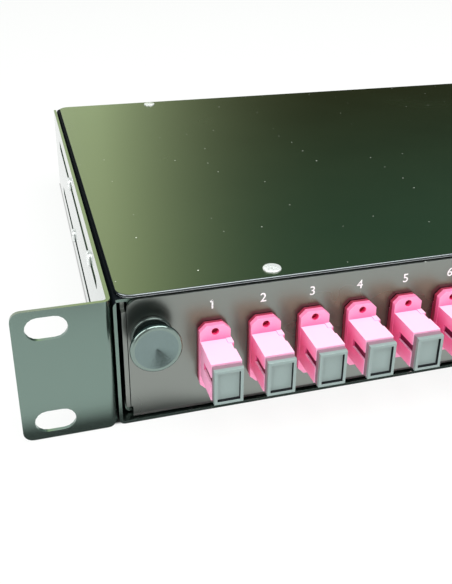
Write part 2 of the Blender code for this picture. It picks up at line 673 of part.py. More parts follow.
def splice_cassette_mesh():
    """An open fibre tray with two splice combs, drawn from its own floor."""
    half_width = CASSETTE_WIDTH / 2
    half_depth = CASSETTE_DEPTH / 2
    inner_width = half_width - CASSETTE_SHEET
    inner_depth = half_depth - CASSETTE_SHEET
    above = CASSETTE_HEIGHT + CUT_MARGIN
    outline = rounded_rectangle((-half_width, -half_depth), (half_width, half_depth), CASSETTE_CORNER)
    inner = rounded_rectangle((-inner_width, -inner_depth), (inner_width, inner_depth),
                              CASSETTE_CORNER - CASSETTE_SHEET)
    tray = plate("splice_cassette", "Z", [outline], 0.0, CASSETTE_HEIGHT)
    hollow = plate("cassette_hollow", "Z", [inner], CASSETTE_SHEET, above)
    mouth_x = half_width - CASSETTE_CORNER - CASSETTE_MOUTH
    mouths = boxes("cassette_mouths", [
        mirrored_span(side, (mouth_x, low, CASSETTE_SHEET), (mouth_x + CASSETTE_MOUTH, high, above))
        for side in SIDES.values()
        for low, high in ((-half_depth - CUT_MARGIN, -inner_depth + CASSETTE_SHEET),
                          (inner_depth - CASSETTE_SHEET, half_depth + CUT_MARGIN))])
    pitch = COMB_GROOVE_WIDTH + COMB_TOOTH
    comb_half = (COMB_GROOVES * pitch + COMB_TOOTH) / 2
    comb_top = CASSETTE_SHEET + COMB_HEIGHT
    combs = boxes("cassette_combs", [
        ((side * COMB_SPACING / 2 - comb_half, -COMB_DEPTH / 2, CASSETTE_SHEET / 2),
         (side * COMB_SPACING / 2 + comb_half, COMB_DEPTH / 2, comb_top))
        for side in SIDES.values()])
    first = COMB_TOOTH - comb_half
    grooves = boxes("cassette_grooves", [
        ((side * COMB_SPACING / 2 + first + slot * pitch, -COMB_DEPTH, CASSETTE_SHEET + COMB_TOOTH),
         (side * COMB_SPACING / 2 + first + slot * pitch + COMB_GROOVE_WIDTH, COMB_DEPTH, above))
        for side in SIDES.values() for slot in range(COMB_GROOVES)])
    return with_cuts("splice_cassette", tray, [("DIFFERENCE", hollow), ("DIFFERENCE", mouths),
                                               ("UNION", combs), ("DIFFERENCE", grooves)])


# Assembly

def build_sheet_piece(parts, cutters, name, mesh, material, parent, steps):
    part = place_part(parts, name, mesh, material, parent)
    for operation, other in steps:
        combine(part, place_cutter(cutters, other, parent), operation)


def main():
    clear_scene()
    parts = new_collection("fibre_patch_panel")
    cutters = new_collection("patch_panel_cutters")
    black_paint = finish("black_paint", (0.030, 0.034, 0.028), 0.32)
    drawer_paint = finish("drawer_paint", (0.034, 0.037, 0.033), 0.34)
    pink_plastic = finish("pink_plastic", (0.86, 0.14, 0.36), 0.38)
    cap_plastic = finish("cap_plastic", (0.10, 0.12, 0.12), 0.45)
    knob_plastic = finish("knob_plastic", (0.040, 0.046, 0.042), 0.30)
    bush_plastic = finish("bush_plastic", (0.030, 0.034, 0.032), 0.35)
    cassette_plastic = finish("cassette_plastic", (0.55, 0.56, 0.55), 0.45)
    grommet_rubber = finish("grommet_rubber", (0.025, 0.025, 0.025), 0.70)

    rack_plane = place_empty(parts, "rack_plane", (0.0, STANDING_Y, 0.0))
    drawer_slide = place_empty(parts, "drawer_slide", (0.0, 0.0, 0.0), rack_plane)

    build_sheet_piece(parts, cutters, "case_shell", case_mesh(), black_paint, rack_plane, case_steps())
    place_part(parts, "lid", lid_mesh(), black_paint, rack_plane)
    for side, sign in SIDES.items():
        name = "ear_bracket_" + side
        build_sheet_piece(parts, cutters, name, ear_bracket_mesh(name, sign), black_paint, rack_plane,
                          [("DIFFERENCE", ear_bracket_cuts(name + "_cuts", sign))])
        place_part(parts, "cable_grommet_" + side, cable_grommet_mesh(), grommet_rubber, rack_plane,
                   (sign * CABLE_X, CASE_REAR, CABLE_HEIGHT))

    build_sheet_piece(parts, cutters, "drawer_tray", tray_mesh(), drawer_paint, drawer_slide, tray_steps())
    place_part(parts, "splice_cassette", splice_cassette_mesh(), cassette_plastic, drawer_slide,
               (0.0, CASSETTE_Y, TRAY_FLOOR + SEAT_GAP))
    for side, sign in SIDES.items():
        axis = (sign * LATCH_X, PANEL_FACE, LATCH_HEIGHT)
        place_part(parts, "latch_bush_" + side, latch_bush_mesh(), bush_plastic, drawer_slide, axis)
        place_part(parts, "knob_" + side, knob_mesh(), knob_plastic, drawer_slide, axis)
    adapter = adapter_mesh()
    dust_cap = dust_cap_mesh()
    for port, x in enumerate(PORT_PLACES, start=1):
        axis = (x, PANEL_FACE, PORT_HEIGHT)
        place_part(parts, f"adapter_{port:02d}", adapter, pink_plastic, drawer_slide, axis)
        place_part(parts, f"dust_cap_{port:02d}", dust_cap, cap_plastic, drawer_slide, axis)


main()
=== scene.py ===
"""The looks of a 1U slide-out fibre patch panel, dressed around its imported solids.

Lengths are metres. X runs across the rack, Y towards the back and Z up.
"""
import math

import bmesh
import bpy
from mathutils import Matrix, Vector


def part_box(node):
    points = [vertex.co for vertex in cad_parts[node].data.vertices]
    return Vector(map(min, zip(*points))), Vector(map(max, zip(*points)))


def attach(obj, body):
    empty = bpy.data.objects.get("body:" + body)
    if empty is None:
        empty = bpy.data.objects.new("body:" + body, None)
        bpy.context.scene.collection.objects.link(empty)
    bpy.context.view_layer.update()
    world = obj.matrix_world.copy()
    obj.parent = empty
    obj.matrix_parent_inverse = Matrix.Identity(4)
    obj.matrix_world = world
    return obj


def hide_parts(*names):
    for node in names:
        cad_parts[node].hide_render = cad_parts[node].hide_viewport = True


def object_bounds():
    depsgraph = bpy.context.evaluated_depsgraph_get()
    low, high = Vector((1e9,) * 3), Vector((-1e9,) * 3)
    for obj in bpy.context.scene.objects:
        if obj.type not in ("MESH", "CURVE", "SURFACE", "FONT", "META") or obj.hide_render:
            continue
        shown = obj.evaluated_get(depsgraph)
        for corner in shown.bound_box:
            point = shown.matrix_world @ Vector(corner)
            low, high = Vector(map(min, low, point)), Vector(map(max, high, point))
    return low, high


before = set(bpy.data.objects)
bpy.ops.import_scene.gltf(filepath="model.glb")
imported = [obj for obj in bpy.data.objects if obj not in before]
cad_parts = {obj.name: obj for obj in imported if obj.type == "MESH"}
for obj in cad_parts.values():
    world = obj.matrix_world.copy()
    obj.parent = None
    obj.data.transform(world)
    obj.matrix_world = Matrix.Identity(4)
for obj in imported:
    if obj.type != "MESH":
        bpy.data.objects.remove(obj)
cad_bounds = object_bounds()

# Sheet-steel pieces
CASE_WALL = 0.0010
CASE_EASE = 0.00018
CASE_SHOULDER = 0.0020
EAR_EASE = 0.00024
DRAWER_EASE = 0.00030
LID_CORNER = 0.0050
LID_CORNER_STEPS = 12
LID_EASE = 0.00034
LID_EASE_STEPS = 3
LID_SIDE_GAP = 0.0004
BRACKET_SHEET = 0.0012

# Screw heads
LID_SCREW_HEAD = 0.0058
LID_SCREW_RISE = 0.0005
LID_SCREW_SPACING = 0.3256
LID_SCREW_INSET = 0.0053
SIDE_SCREW_HEAD = 0.0060
SIDE_SCREW_RISE = 0.0010
SIDE_SCREW_FRONT = 0.0480
SIDE_SCREW_STEP = 0.0750
SIDE_SCREW_SPACING = 0.0244
SCREW_STEPS = 40
SCREW_DOME_SHARE = 0.75
SCREW_DOME_STEPS = 6
CROSS_WIDTH = 0.0006
CROSS_LENGTH = 0.0024
CROSS_DEPTH = 0.0003

# Adapters
PORT_COUNT = 24
BODY_HEIGHT = 0.0122
FLANGE_LIP = 0.00015
FLANGE_BACK = 0.0003
FLANGE_FRONT_LAYER = 0.0017
FLANGE_REAR_LAYER = 0.0014
FLANGE_CHAMFER = 0.0020
FLANGE_SEAM = 0.00022
FLANGE_HOLE = 0.0023
FLANGE_HOLE_DEPTH = 0.0018
FLANGE_HOLE_SPACING = 0.0180
FLANGE_HOLE_STEPS = 24
SOCKET_WIDTH = 0.0075
SOCKET_HEIGHT = 0.0091
SOCKET_DEPTH = 0.01085
SLEEVE_BOSS = 0.0050
SLEEVE_BOSS_STEPS = 28
SLEEVE_BORE = 0.0026
SLEEVE_BORE_STEPS = 20
SLEEVE_RISE = 0.0014
KEYWAY_HEIGHT = 0.0026
KEYWAY_LENGTH = 0.0080
KEYWAY_RISE = 0.0004
KEYWAY_REACH = 0.0014
KEYWAY_DEPTH = 0.0007
NOTCH_START = 0.0030
NOTCH_LENGTH = 0.0030
NOTCH_HEIGHT = 0.0040
NOTCH_DEPTH = 0.0004
RIB_WIDTH = 0.0014
RIB_LENGTH = 0.0028
RIB_RISE = 0.0002
RIB_REACH = 0.0004
ADAPTER_EASE = 0.00020

# Dust caps
CAP_HEAD = 0.0024
CAP_PLATE = 0.0010
CAP_NECK_INSET = 0.00008
CAP_NECK_REACH = 0.00034
CAP_TOP_GAP = 0.0003
CAP_DRAFT = 0.98
CAP_RIM = 0.0010
CAP_RECESS = 0.0012
CAP_EASE = 0.00014
CAP_STEM_GAP = 0.0003
CAP_STEM_WALL = 0.0009
CAP_STEM_HOLLOW = 0.0062

# Latches, grommets and cassette
KNOB_SEAT = 0.0020
KNOB_NECK = 0.0036
KNOB_NECK_STEP = 0.0015
KNOB_SHAFT = 0.0030
KNOB_EDGE = 0.0007
KNOB_EDGE_STEPS = 4
KNOB_RIM = 0.0013
KNOB_DISH = 0.0012
KNOB_DISH_STEPS = 8
KNOB_SIDE = 0.0012
KNOB_FILLET = 0.0006
BUSH_BORE = 0.0033
BUSH_BARREL = 0.0045
BUSH_SEAT = 0.0003
BUSH_TIP = 0.0005
BUSH_SLIT = 0.0007
BUSH_SLIT_START = 0.0030
GROMMET_BORE = 0.0100
GROMMET_BARREL = 0.0126
GROMMET_FACE = 0.0020
GROMMET_GAP = 0.0003
GROMMET_FLARE = 0.0004
GROMMET_FLARE_START = 0.0012
CASSETTE_EASE = 0.00030

# Printed port numbers
NUMBER_HEIGHT = 0.0031
NUMBER_RISE = 0.0382
NUMBER_BOLD = 0.00003
NUMBER_INK = 0.00004
FONT_HEIGHT = 0.73
DIGIT_STEP = 0.0021
FLAG_LENGTH = 0.0010
FLAG_THICKNESS = 0.00045
FLAG_SLANT = math.radians(38)

# How meshes are merged, eased, smoothed and turned
MERGE_GAP = 0.000002
SPIN_MERGE_GAP = 0.000004
FLAT_ANGLE = math.radians(0.5)
EASE_ANGLE = math.radians(35.0)
SMOOTH_ANGLE = math.radians(32.0)
KNOB_SMOOTH_ANGLE = math.radians(9.0)
SPIN_STEPS = 64
SPIN_SEED = 0.001

# Parts of a normal or direction at which a face or edge is picked, or a face changes its finish
SQUARE_ON = 0.99
SIDE_ON = 0.9
SHOULDER_FACING = 0.15
RIM_FACING = 0.5
PANEL_FRONT_FACING = -0.1
PANEL_FOOT_FACING = (-0.98, -0.1)
LID_TOP_FACING = 0.98
LID_FRONT_FACING = -0.35
LID_EDGE_FACING = 0.25
CAP_END_FACING = 0.5
KNOB_FRONT_FACING = -0.5

# The camera that the photograph was taken from
CAMERA_PLACE = (-0.232502, -0.282001, 0.146969)
CAMERA_RIGHT = (0.96099, -0.27644, 0.00920)
CAMERA_UP = (0.10542, 0.39682, 0.91182)
CAMERA_BACK = (-0.25571, -0.87528, 0.41048)
CAMERA_SENSOR = 36.0
CAMERA_LENS = 44.9756
CAMERA_SHIFT_Y = -0.106537
CAMERA_NEAREST = 0.01

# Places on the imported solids
CASE_LOW, CASE_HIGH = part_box("case_shell")
LID_LOW, LID_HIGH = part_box("lid")
EAR_LOW, EAR_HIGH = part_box("ear_bracket_left")
PANEL_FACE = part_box("drawer_tray")[0].y
RACK_PLANE = EAR_LOW.y
CASE_MIDDLE = (CASE_LOW.z + LID_HIGH.z) / 2

# The floor, and the shadows painted into its glow: under the object to the camera, and at the foot and
# under the lens to the gloss
FLOOR_SIZE = 8.0
FLOOR_DROP = 0.0002
FLOOR_GLOW = (0.985, 0.995, 0.985)
FLOOR_GLOW_SHARE = 0.9
FLOOR_PAPER = (0.93, 0.935, 0.93)
FLOOR_SHOWN = (-0.0024, -0.0010)
FLOOR_BEHIND_FADE = 0.002
FLOOR_IN_GLOSS = 0.30
FLOOR_FAR_SIDE = (0.30, 0.60)
FLOOR_FAR_BEHIND = (-0.205, -0.17)
FOOT_HALF = 0.2145
FOOT_HALF_FADE = 0.0005
FOOT_FADE = 0.0010
FOOT_SHADE = 0.0145
FOOT_SHADE_NARROWS = (-0.20, -0.15)
FOOT_SHADE_NARROWING = 2.5
FOOT_IN_GLOSS = 0.12
FOOT_IN_GLOSS_FADE = (-0.0010, -0.0004)
PAST_EARS_FADE = 0.012
# A painted shadow of the lens on the floor, which only the gloss sees
LENS_SHADE = (-0.2140, -0.255, 0.0)
LENS_SHADE_SIZE = (0.050, 0.080, 1.0)
LENS_SHADE_FADE = (0.62, 1.0)

# The room's light
WHITE = (1.0, 1.0, 1.0)
ROOM_LIGHT = 0.48
ROOM_IN_GLOSS = 0.30
ROOM_FRONT = (-0.2, -0.6)
ROOM_LOW = (0.34, 0.14)
OVERHEAD_LAMP = {"place": (0.19, -0.44, 1.24), "target": (-0.12, -0.05, 0.03), "size": 1.4, "power": 23.0}
SIDE_LAMP = {"place": (-0.95, -0.30, 0.62), "target": (-0.20, -0.05, 0.03), "size": 0.8, "power": 5.5}

# The card behind, which only the gloss sees
CARD_PLACE = (0.6, 1.0, 0.8)
CARD_SIZE = (3.4, 1.6, 1.0)
CARD_FALL = (-0.10, 0.513)
CARD_FALL_POWER = 4.0
CARD_RISE = (0.20, 0.75)
CARD_WHITE = (-0.17, -0.22)
CARD_WHITE_COLOUR = (0.95, 1.0, 0.97)
CARD_PALE_LOW = (0.58, 0.71, 0.40)
CARD_PALE_HIGH = (1.05, 1.22, 0.72)
CARD_DARK_LOW = (0.018, 0.006, 0.001)
CARD_DARK_HIGH = (0.046, 0.138, 0.112)

# Dust, wear and tone that the finishes share, and the plastics' painted top tone and painted corner shade
SPECK_SIZE = 0.007
SPECK_SIZE_SPREAD = 0.016
SPECK_STRENGTH = 0.3
SPECK_STRENGTH_SPREAD = 0.7
SPECK_UPWARD = (0.6, 0.9)
WEAR_TURN = (0.01, 0.16)
WEAR_PATCHES = (0.42, 0.62)
PAINT_DARKER = 0.75
PAINT_ROUGH_SPREAD = 0.08
PAINT_RUBBED = (0.16, 0.18, 0.17)
DUST_COLOUR = (0.75, 0.78, 0.72)
DUST_ROUGHENS = 0.4
PLASTIC_ROUGH_SPREAD = 0.14
# Where plastics get their painted top tone, and their painted shade from occlusion
PLASTIC_PAINTED_TOP = (0.3, 0.8)
PLASTIC_PAINTED_SHADE_REACH = 0.010
PLASTIC_PAINTED_SHADE = (0.25, 0.90)
PLASTIC_PAINTED_DEEP_SHADE = (0.04, 0.34)


# Picking, shaping and finishing pieces

def start_piece():
    if bpy.context.mode != "OBJECT":
        bpy.ops.object.mode_set(mode="OBJECT")
    bpy.ops.object.select_all(action="DESELECT")


def hold(piece):
    """Make one piece the selected and active one."""
    start_piece()
    piece.select_set(True)
    bpy.context.view_layer.objects.active = piece


def edit(piece):
    hold(piece)
    bpy.ops.object.mode_set(mode="EDIT")


def leave_edit():
    bpy.ops.object.mode_set(mode="OBJECT")


def settle():
    """Put the active piece's place, turn and size into its mesh."""
    bpy.ops.object.transform_apply(location=True, rotation=True, scale=True)


def pick(kind, chosen):
    """In edit mode, select the chosen faces or edges."""
    mesh = bpy.context.edit_object.data
    bpy.ops.mesh.select_mode(type=kind)
    bpy.ops.mesh.select_all(action="DESELECT")
    shape = bmesh.from_edit_mesh(mesh)
    for part in {"FACE": shape.faces, "EDGE": shape.edges}[kind]:
        if chosen(part):
            part.select_set(True)
    bmesh.update_edit_mesh(mesh)


def pick_faces(chosen):
    """In edit mode, select the faces whose middle and normal are chosen."""
    pick("FACE", lambda face: chosen(face.calc_center_median(), face.normal))


def pick_edges(chosen):
    """In edit mode, select the edges whose direction is chosen."""
    pick("EDGE", lambda edge: chosen((edge.verts[1].co - edge.verts[0].co).normalized()))


def pick_all():
    bpy.ops.mesh.select_all(action="SELECT")


def extrude_along(distance):
    """In edit mode, extrude the selected faces along Y."""
    bpy.ops.mesh.extrude_region_move(TRANSFORM_OT_translate={"value": (0.0, distance, 0.0)})


def add_block(name, low, high):
    start_piece()
    low, high = Vector(low), Vector(high)
    bpy.ops.mesh.primitive_cube_add(size=1.0, location=(low + high) / 2)
    piece = bpy.context.object
    piece.name = name
    piece.scale = high - low
    settle()
    return piece


def add_rod(name, middle, radius, length, axis, steps):
    """A round rod along Y or Z."""
    start_piece()
    turn = {"Y": (math.pi / 2, 0.0, 0.0), "Z": (0.0, 0.0, 0.0)}[axis]
    bpy.ops.mesh.primitive_cylinder_add(vertices=steps, radius=radius, depth=length, location=middle,
                                        rotation=turn)
    piece = bpy.context.object
    piece.name = name
    settle()
    return piece


def apply_modifier(piece, kind, **settings):
    hold(piece)
    step = piece.modifiers.new(kind.lower(), kind)
    for setting, value in settings.items():
        setattr(step, setting, value)
    bpy.ops.object.modifier_apply(modifier=step.name)


def join_solid(piece, other):
    apply_modifier(piece, "BOOLEAN", operation="UNION", solver="EXACT", object=other)
    bpy.data.objects.remove(other)


def cut_solid(piece, other):
    apply_modifier(piece, "BOOLEAN", operation="DIFFERENCE", solver="EXACT", object=other)
    bpy.data.objects.remove(other)


def cut_block(piece, name, low, high):
    cut_solid(piece, add_block(name, low, high))


def tidy_faces(piece):
    """Merge doubled corners and join the faces that lie flat to each other."""
    edit(piece)
    pick_all()
    bpy.ops.mesh.remove_doubles(threshold=MERGE_GAP)
    bpy.ops.mesh.dissolve_limited(angle_limit=FLAT_ANGLE)
    leave_edit()


def ease_edges(piece, width, segments=2):
    apply_modifier(piece, "BEVEL", width=width, segments=segments, limit_method="ANGLE",
                   angle_limit=EASE_ANGLE, use_clamp_overlap=True)


def smooth(piece, angle=SMOOTH_ANGLE):
    hold(piece)
    bpy.ops.object.shade_smooth_by_angle(angle=angle)


def flatten_shading(piece):
    """Smooth the eased edges and keep the broad faces between them flat to the light."""
    smooth(piece)
    apply_modifier(piece, "WEIGHTED_NORMAL", keep_sharp=True, weight=100)


def choose_finish(piece, finishes, finish_of):
    """Give each face, by its middle and normal, one of the finishes that the piece is dressed in."""
    for face in piece.data.polygons:
        face.material_index = finishes.index(finish_of(face.center, face.normal))


def dress(piece, finishes, body, slot, *nodes):
    """Give a finished piece its finishes, its body and the nodes it stands for; its record slot is not
    used.
    """
    for finish in finishes:
        piece.data.materials.append(finish)
    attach(piece, body)
    if nodes:
        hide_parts(*nodes)


def copied(piece, name, shift):
    """A copy with its own mesh, moved into place."""
    hold(piece)
    bpy.ops.object.duplicate(linked=False)
    twin = bpy.context.object
    twin.name = name
    bpy.ops.transform.translate(value=shift)
    settle()
    return twin


def eased_copy(node, name, width):
    """A CAD node's shape with its faces joined up and its sharp edges eased."""
    piece = bpy.data.objects.new(name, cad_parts[node].data.copy())
    bpy.context.scene.collection.objects.link(piece)
    piece.data.materials.clear()
    hold(piece)
    bpy.ops.mesh.customdata_custom_splitnormals_clear()
    tidy_faces(piece)
    ease_edges(piece, width)
    flatten_shading(piece)
    return piece


def spun(name, axis_point, profile, closed):
    """A turned piece about Y; a profile point is its radius and how far forward of the axis point it is."""
    start_piece()
    origin = Vector(axis_point)
    points = [origin + Vector((radius, -forward, 0.0)) for radius, forward in profile]
    bpy.ops.mesh.primitive_plane_add(size=SPIN_SEED, location=points[0])
    piece = bpy.context.object
    piece.name = name
    settle()
    bpy.ops.object.mode_set(mode="EDIT")
    bpy.ops.mesh.select_mode(type="VERT")
    pick_all()
    bpy.ops.mesh.merge(type="CENTER")
    for start, end in zip(points, points[1:] + points[:1] * closed):
        bpy.ops.mesh.extrude_vertices_move(TRANSFORM_OT_translate={"value": end - start})
    pick_all()
    bpy.ops.mesh.spin(steps=SPIN_STEPS, angle=2 * math.pi, center=origin, axis=(0.0, 1.0, 0.0))
    pick_all()
    bpy.ops.mesh.remove_doubles(threshold=SPIN_MERGE_GAP)
    bpy.ops.mesh.normals_make_consistent(inside=False)
    leave_edit()
    smooth(piece)
    return piece


def quarter(centre, radius, start, end, steps=6):
    """Profile points round part of a circle, with angles in degrees."""
    angles = [math.radians(start + (end - start) * step / steps) for step in range(steps + 1)]
    return [(centre[0] + radius * math.cos(a), centre[1] + radius * math.sin(a)) for a in angles]


# Shader nodes

def feed(tree, node, inputs):
    """Set a node's inputs to fixed values, or link them to other nodes' outputs; colours are opaque."""
    for label, value in inputs.items():
        socket = node.inputs[label]
        if isinstance(value, bpy.types.NodeSocket):
            tree.links.new(value, socket)
        else:
            socket.default_value = (*value, 1.0) if socket.type == "RGBA" else value


def add_node(tree, kind, inputs=None, **settings):
    node = tree.nodes.new(kind)
    for setting, value in settings.items():
        setattr(node, setting, value)
    feed(tree, node, inputs or {})
    return node


def math_node(tree, operation, *values, clamp=False):
    node = add_node(tree, "ShaderNodeMath", dict(enumerate(values)), operation=operation, use_clamp=clamp)
    return node.outputs[0]


def greatest(tree, mask, *others):
    for other in others:
        mask = math_node(tree, "MAXIMUM", mask, other)
    return mask


def ramp_between(tree, value, low, high):
    """A smooth mask that goes from 0 at low to 1 at high."""
    node = add_node(tree, "ShaderNodeMapRange", {"Value": value, "From Min": low, "From Max": high},
                    interpolation_type="SMOOTHSTEP")
    return node.outputs["Result"]


def mix_colours(tree, mask, first, second):
    return add_node(tree, "ShaderNodeMix", {0: mask, 6: first, 7: second}, data_type="RGBA").outputs[2]


def mix_values(tree, mask, first, second):
    return add_node(tree, "ShaderNodeMix", {0: mask, 2: first, 3: second}, data_type="FLOAT").outputs[0]


def light_path_mask(tree, *kinds):
    """1 for rays of the named kinds."""
    path = add_node(tree, "ShaderNodeLightPath")
    return greatest(tree, *(path.outputs[kind] for kind in kinds))


def object_place(tree):
    return add_node(tree, "ShaderNodeTexCoord").outputs["Object"]


def face_normal(tree):
    return add_node(tree, "ShaderNodeNewGeometry").outputs["Normal"]


def split_vector(tree, vector):
    """The X, Y and Z outputs of a vector."""
    return add_node(tree, "ShaderNodeSeparateXYZ", {"Vector": vector}).outputs


# Effects that several finishes share

def new_group(name, inputs, outputs):
    """A node group of plain numbers, with what it is given and the node that takes its results."""
    group = bpy.data.node_groups.new(name, "ShaderNodeTree")
    for label, value in inputs.items():
        socket = group.interface.new_socket(label, in_out="INPUT", socket_type="NodeSocketFloat")
        socket.default_value = value
    for label in outputs:
        group.interface.new_socket(label, in_out="OUTPUT", socket_type="NodeSocketFloat")
    return group, group.nodes.new("NodeGroupInput").outputs, group.nodes.new("NodeGroupOutput")


def surface_grain_group():
    """Fine and broad unevenness of a painted or moulded skin."""
    group, given, results = new_group("surface_grain", {"Fine Scale": 1500.0, "Broad Scale": 30.0},
                                      ("Height", "Tone"))
    place = object_place(group)
    fine = add_node(group, "ShaderNodeTexNoise",
                    {"Vector": place, "Scale": given["Fine Scale"], "Detail": 2.0, "Roughness": 0.5})
    broad = add_node(group, "ShaderNodeTexNoise",
                     {"Vector": place, "Scale": given["Broad Scale"], "Detail": 3.0, "Roughness": 0.55})
    feed(group, results, {"Height": fine.outputs["Fac"], "Tone": broad.outputs["Fac"]})
    return group


def dust_group():
    """Scattered light specks on faces that look up, as a mask."""
    group, given, results = new_group("settled_dust", {"Spread": 90.0, "Share": 0.4}, ("Mask",))
    cells = add_node(group, "ShaderNodeTexVoronoi",
                     {"Vector": object_place(group), "Scale": given["Spread"]},
                     feature="F1", voronoi_dimensions="2D")
    pick = add_node(group, "ShaderNodeSeparateColor", {"Color": cells.outputs["Color"]}).outputs
    chosen = math_node(group, "LESS_THAN", pick["Red"], given["Share"])
    size = math_node(group, "MULTIPLY_ADD", pick["Green"], SPECK_SIZE_SPREAD, SPECK_SIZE)
    speck = math_node(group, "LESS_THAN", cells.outputs["Distance"], size)
    upward = ramp_between(group, split_vector(group, face_normal(group))["Z"], *SPECK_UPWARD)
    strength = math_node(group, "MULTIPLY_ADD", pick["Blue"], SPECK_STRENGTH_SPREAD, SPECK_STRENGTH)
    shown = math_node(group, "MULTIPLY", math_node(group, "MULTIPLY", speck, chosen), strength)
    feed(group, results, {"Mask": math_node(group, "MULTIPLY", shown, upward)})
    return group


def edge_wear_group():
    """How much a handled edge is rubbed, as a mask broken up by noise."""
    group, given, results = new_group("rubbed_edges", {"Width": 0.0004, "Amount": 0.5}, ("Mask",))
    rounded = add_node(group, "ShaderNodeBevel", {"Radius": given["Width"]}, samples=6)
    across = add_node(group, "ShaderNodeVectorMath", {0: rounded.outputs["Normal"], 1: face_normal(group)},
                      operation="DOT_PRODUCT")
    turned = math_node(group, "SUBTRACT", 1.0, across.outputs["Value"], clamp=True)
    patches = add_node(group, "ShaderNodeTexNoise",
                       {"Vector": object_place(group), "Scale": 420.0, "Detail": 3.0})
    rubbed = math_node(group, "MULTIPLY", ramp_between(group, turned, *WEAR_TURN),
                       ramp_between(group, patches.outputs["Fac"], *WEAR_PATCHES))
    feed(group, results, {"Mask": math_node(group, "MULTIPLY", rubbed, given["Amount"])})
    return group


GRAIN = surface_grain_group()
DUST = dust_group()
WEAR = edge_wear_group()


# Finishes

def new_finish(name):
    material = bpy.data.materials.new(name)
    material.use_nodes = True
    tree = material.node_tree
    return material, tree, tree.nodes["Principled BSDF"]


def add_effect(tree, group, **values):
    """The outputs of a shared effect."""
    inputs = {label.replace("_", " ").title(): value for label, value in values.items()}
    return add_node(tree, "ShaderNodeGroup", inputs, node_tree=group).outputs


def bumped(tree, height, strength, distance):
    """A normal that is tilted by a height."""
    inputs = {"Height": height, "Strength": strength, "Distance": distance}
    return add_node(tree, "ShaderNodeBump", inputs).outputs["Normal"]


def uneven(tree, mask, least, spread):
    """A roughness that rises with a mask."""
    return math_node(tree, "MULTIPLY_ADD", mask, spread, least, clamp=True)


def paint_finish(name, colour, roughness, ior, tint, coat, dust_share=0.2):
    """Stoved paint with faint orange peel, dust, rubbed edges and a clear coat of its own roughness."""
    material, tree, shader = new_finish(name)
    grain = add_effect(tree, GRAIN, fine_scale=1400.0, broad_scale=22.0)
    dust = add_effect(tree, DUST, spread=70.0, share=dust_share)["Mask"]
    wear = add_effect(tree, WEAR, width=0.0004, amount=0.35)["Mask"]
    dark = tuple(part * PAINT_DARKER for part in colour)
    toned = mix_colours(tree, grain["Tone"], dark, colour)
    rubbed = mix_colours(tree, wear, toned, PAINT_RUBBED)
    clean = math_node(tree, "MULTIPLY_ADD", grain["Tone"], PAINT_ROUGH_SPREAD,
                      roughness - PAINT_ROUGH_SPREAD / 2)
    feed(tree, shader, {
        "Base Color": mix_colours(tree, dust, rubbed, DUST_COLOUR),
        "Roughness": uneven(tree, dust, clean, DUST_ROUGHENS),
        "IOR": ior, "Specular Tint": tint,
        "Coat Weight": 1.0, "Coat Roughness": coat, "Coat IOR": 1.45,
        "Normal": bumped(tree, grain["Height"], strength=0.10, distance=0.00006)})
    return material


def deepen(tree, colour, upper, hidden, deepest, mirrored):
    """A translucent plastic's colour with painted light: a top tone, corner shade and a browner reflection
    in gloss.
    """
    # Occlusion darkens and deepens the colour in corners and between parts: painted shade.
    openness = add_node(tree, "ShaderNodeAmbientOcclusion", {"Distance": PLASTIC_PAINTED_SHADE_REACH}, samples=12)
    upward = ramp_between(tree, split_vector(tree, face_normal(tree))["Z"], *PLASTIC_PAINTED_TOP)
    openness = greatest(tree, openness.outputs["AO"], upward)
    colour = mix_colours(tree, upward, colour, upper)
    colour = mix_colours(tree, ramp_between(tree, openness, *PLASTIC_PAINTED_SHADE), hidden, colour)
    colour = mix_colours(tree, ramp_between(tree, openness, *PLASTIC_PAINTED_DEEP_SHADE), deepest, colour)
    # Gloss rays see a browner colour: a painted reflection.
    return mix_colours(tree, light_path_mask(tree, "Is Glossy Ray"), colour, mirrored)


def plastic_finish(name, colour, shade, roughness, worn, wear=0.3, skin=1900.0, bump=0.0001, ior=1.5,
                   tint=(1.0, 1.0, 1.0), painted_shading=None):
    """Moulded plastic with a fine skin, a slight change of tone and rubbed edges, and painted light and
    shade when given.
    """
    material, tree, shader = new_finish(name)
    grain = add_effect(tree, GRAIN, fine_scale=skin, broad_scale=70.0)
    edges = add_effect(tree, WEAR, width=0.0003, amount=wear)["Mask"]
    rubbed = mix_colours(tree, edges, mix_colours(tree, grain["Tone"], shade, colour), worn)
    least = roughness - PLASTIC_ROUGH_SPREAD / 2
    feed(tree, shader, {
        "Base Color": deepen(tree, rubbed, **painted_shading) if painted_shading else rubbed,
        "Roughness": uneven(tree, grain["Height"], least, PLASTIC_ROUGH_SPREAD),
        "IOR": ior, "Specular Tint": tint,
        "Normal": bumped(tree, grain["Height"], strength=0.25, distance=bump)})
    return material


def pink_skin(name, upper):
    """The adapters' translucent pink, with a painted top tone, painted shade in corners and a browner
    painted reflection.
    """
    return plastic_finish(
        name, (0.98, 0.41, 0.64), (0.96, 0.37, 0.59), roughness=0.36, worn=(1.0, 0.58, 0.80), wear=0.35,
        painted_shading={"upper": upper, "hidden": (0.98, 0.105, 0.33), "deepest": (0.45, 0.008, 0.07),
                "mirrored": (0.44, 0.25, 0.19)})


def screw_finish(name):
    """Bright zinc plate with a faintly uneven sheen."""
    material, tree, shader = new_finish(name)
    grain = add_effect(tree, GRAIN, fine_scale=2600.0, broad_scale=500.0)
    dull, bright = (0.72, 0.75, 0.74), (0.93, 0.95, 0.94)
    feed(tree, shader, {
        "Base Color": mix_colours(tree, grain["Tone"], dull, bright),
        "Roughness": uneven(tree, grain["Tone"], least=0.16, spread=0.2), "Metallic": 0.4,
        "Normal": bumped(tree, grain["Height"], strength=0.15, distance=0.00005)})
    return material


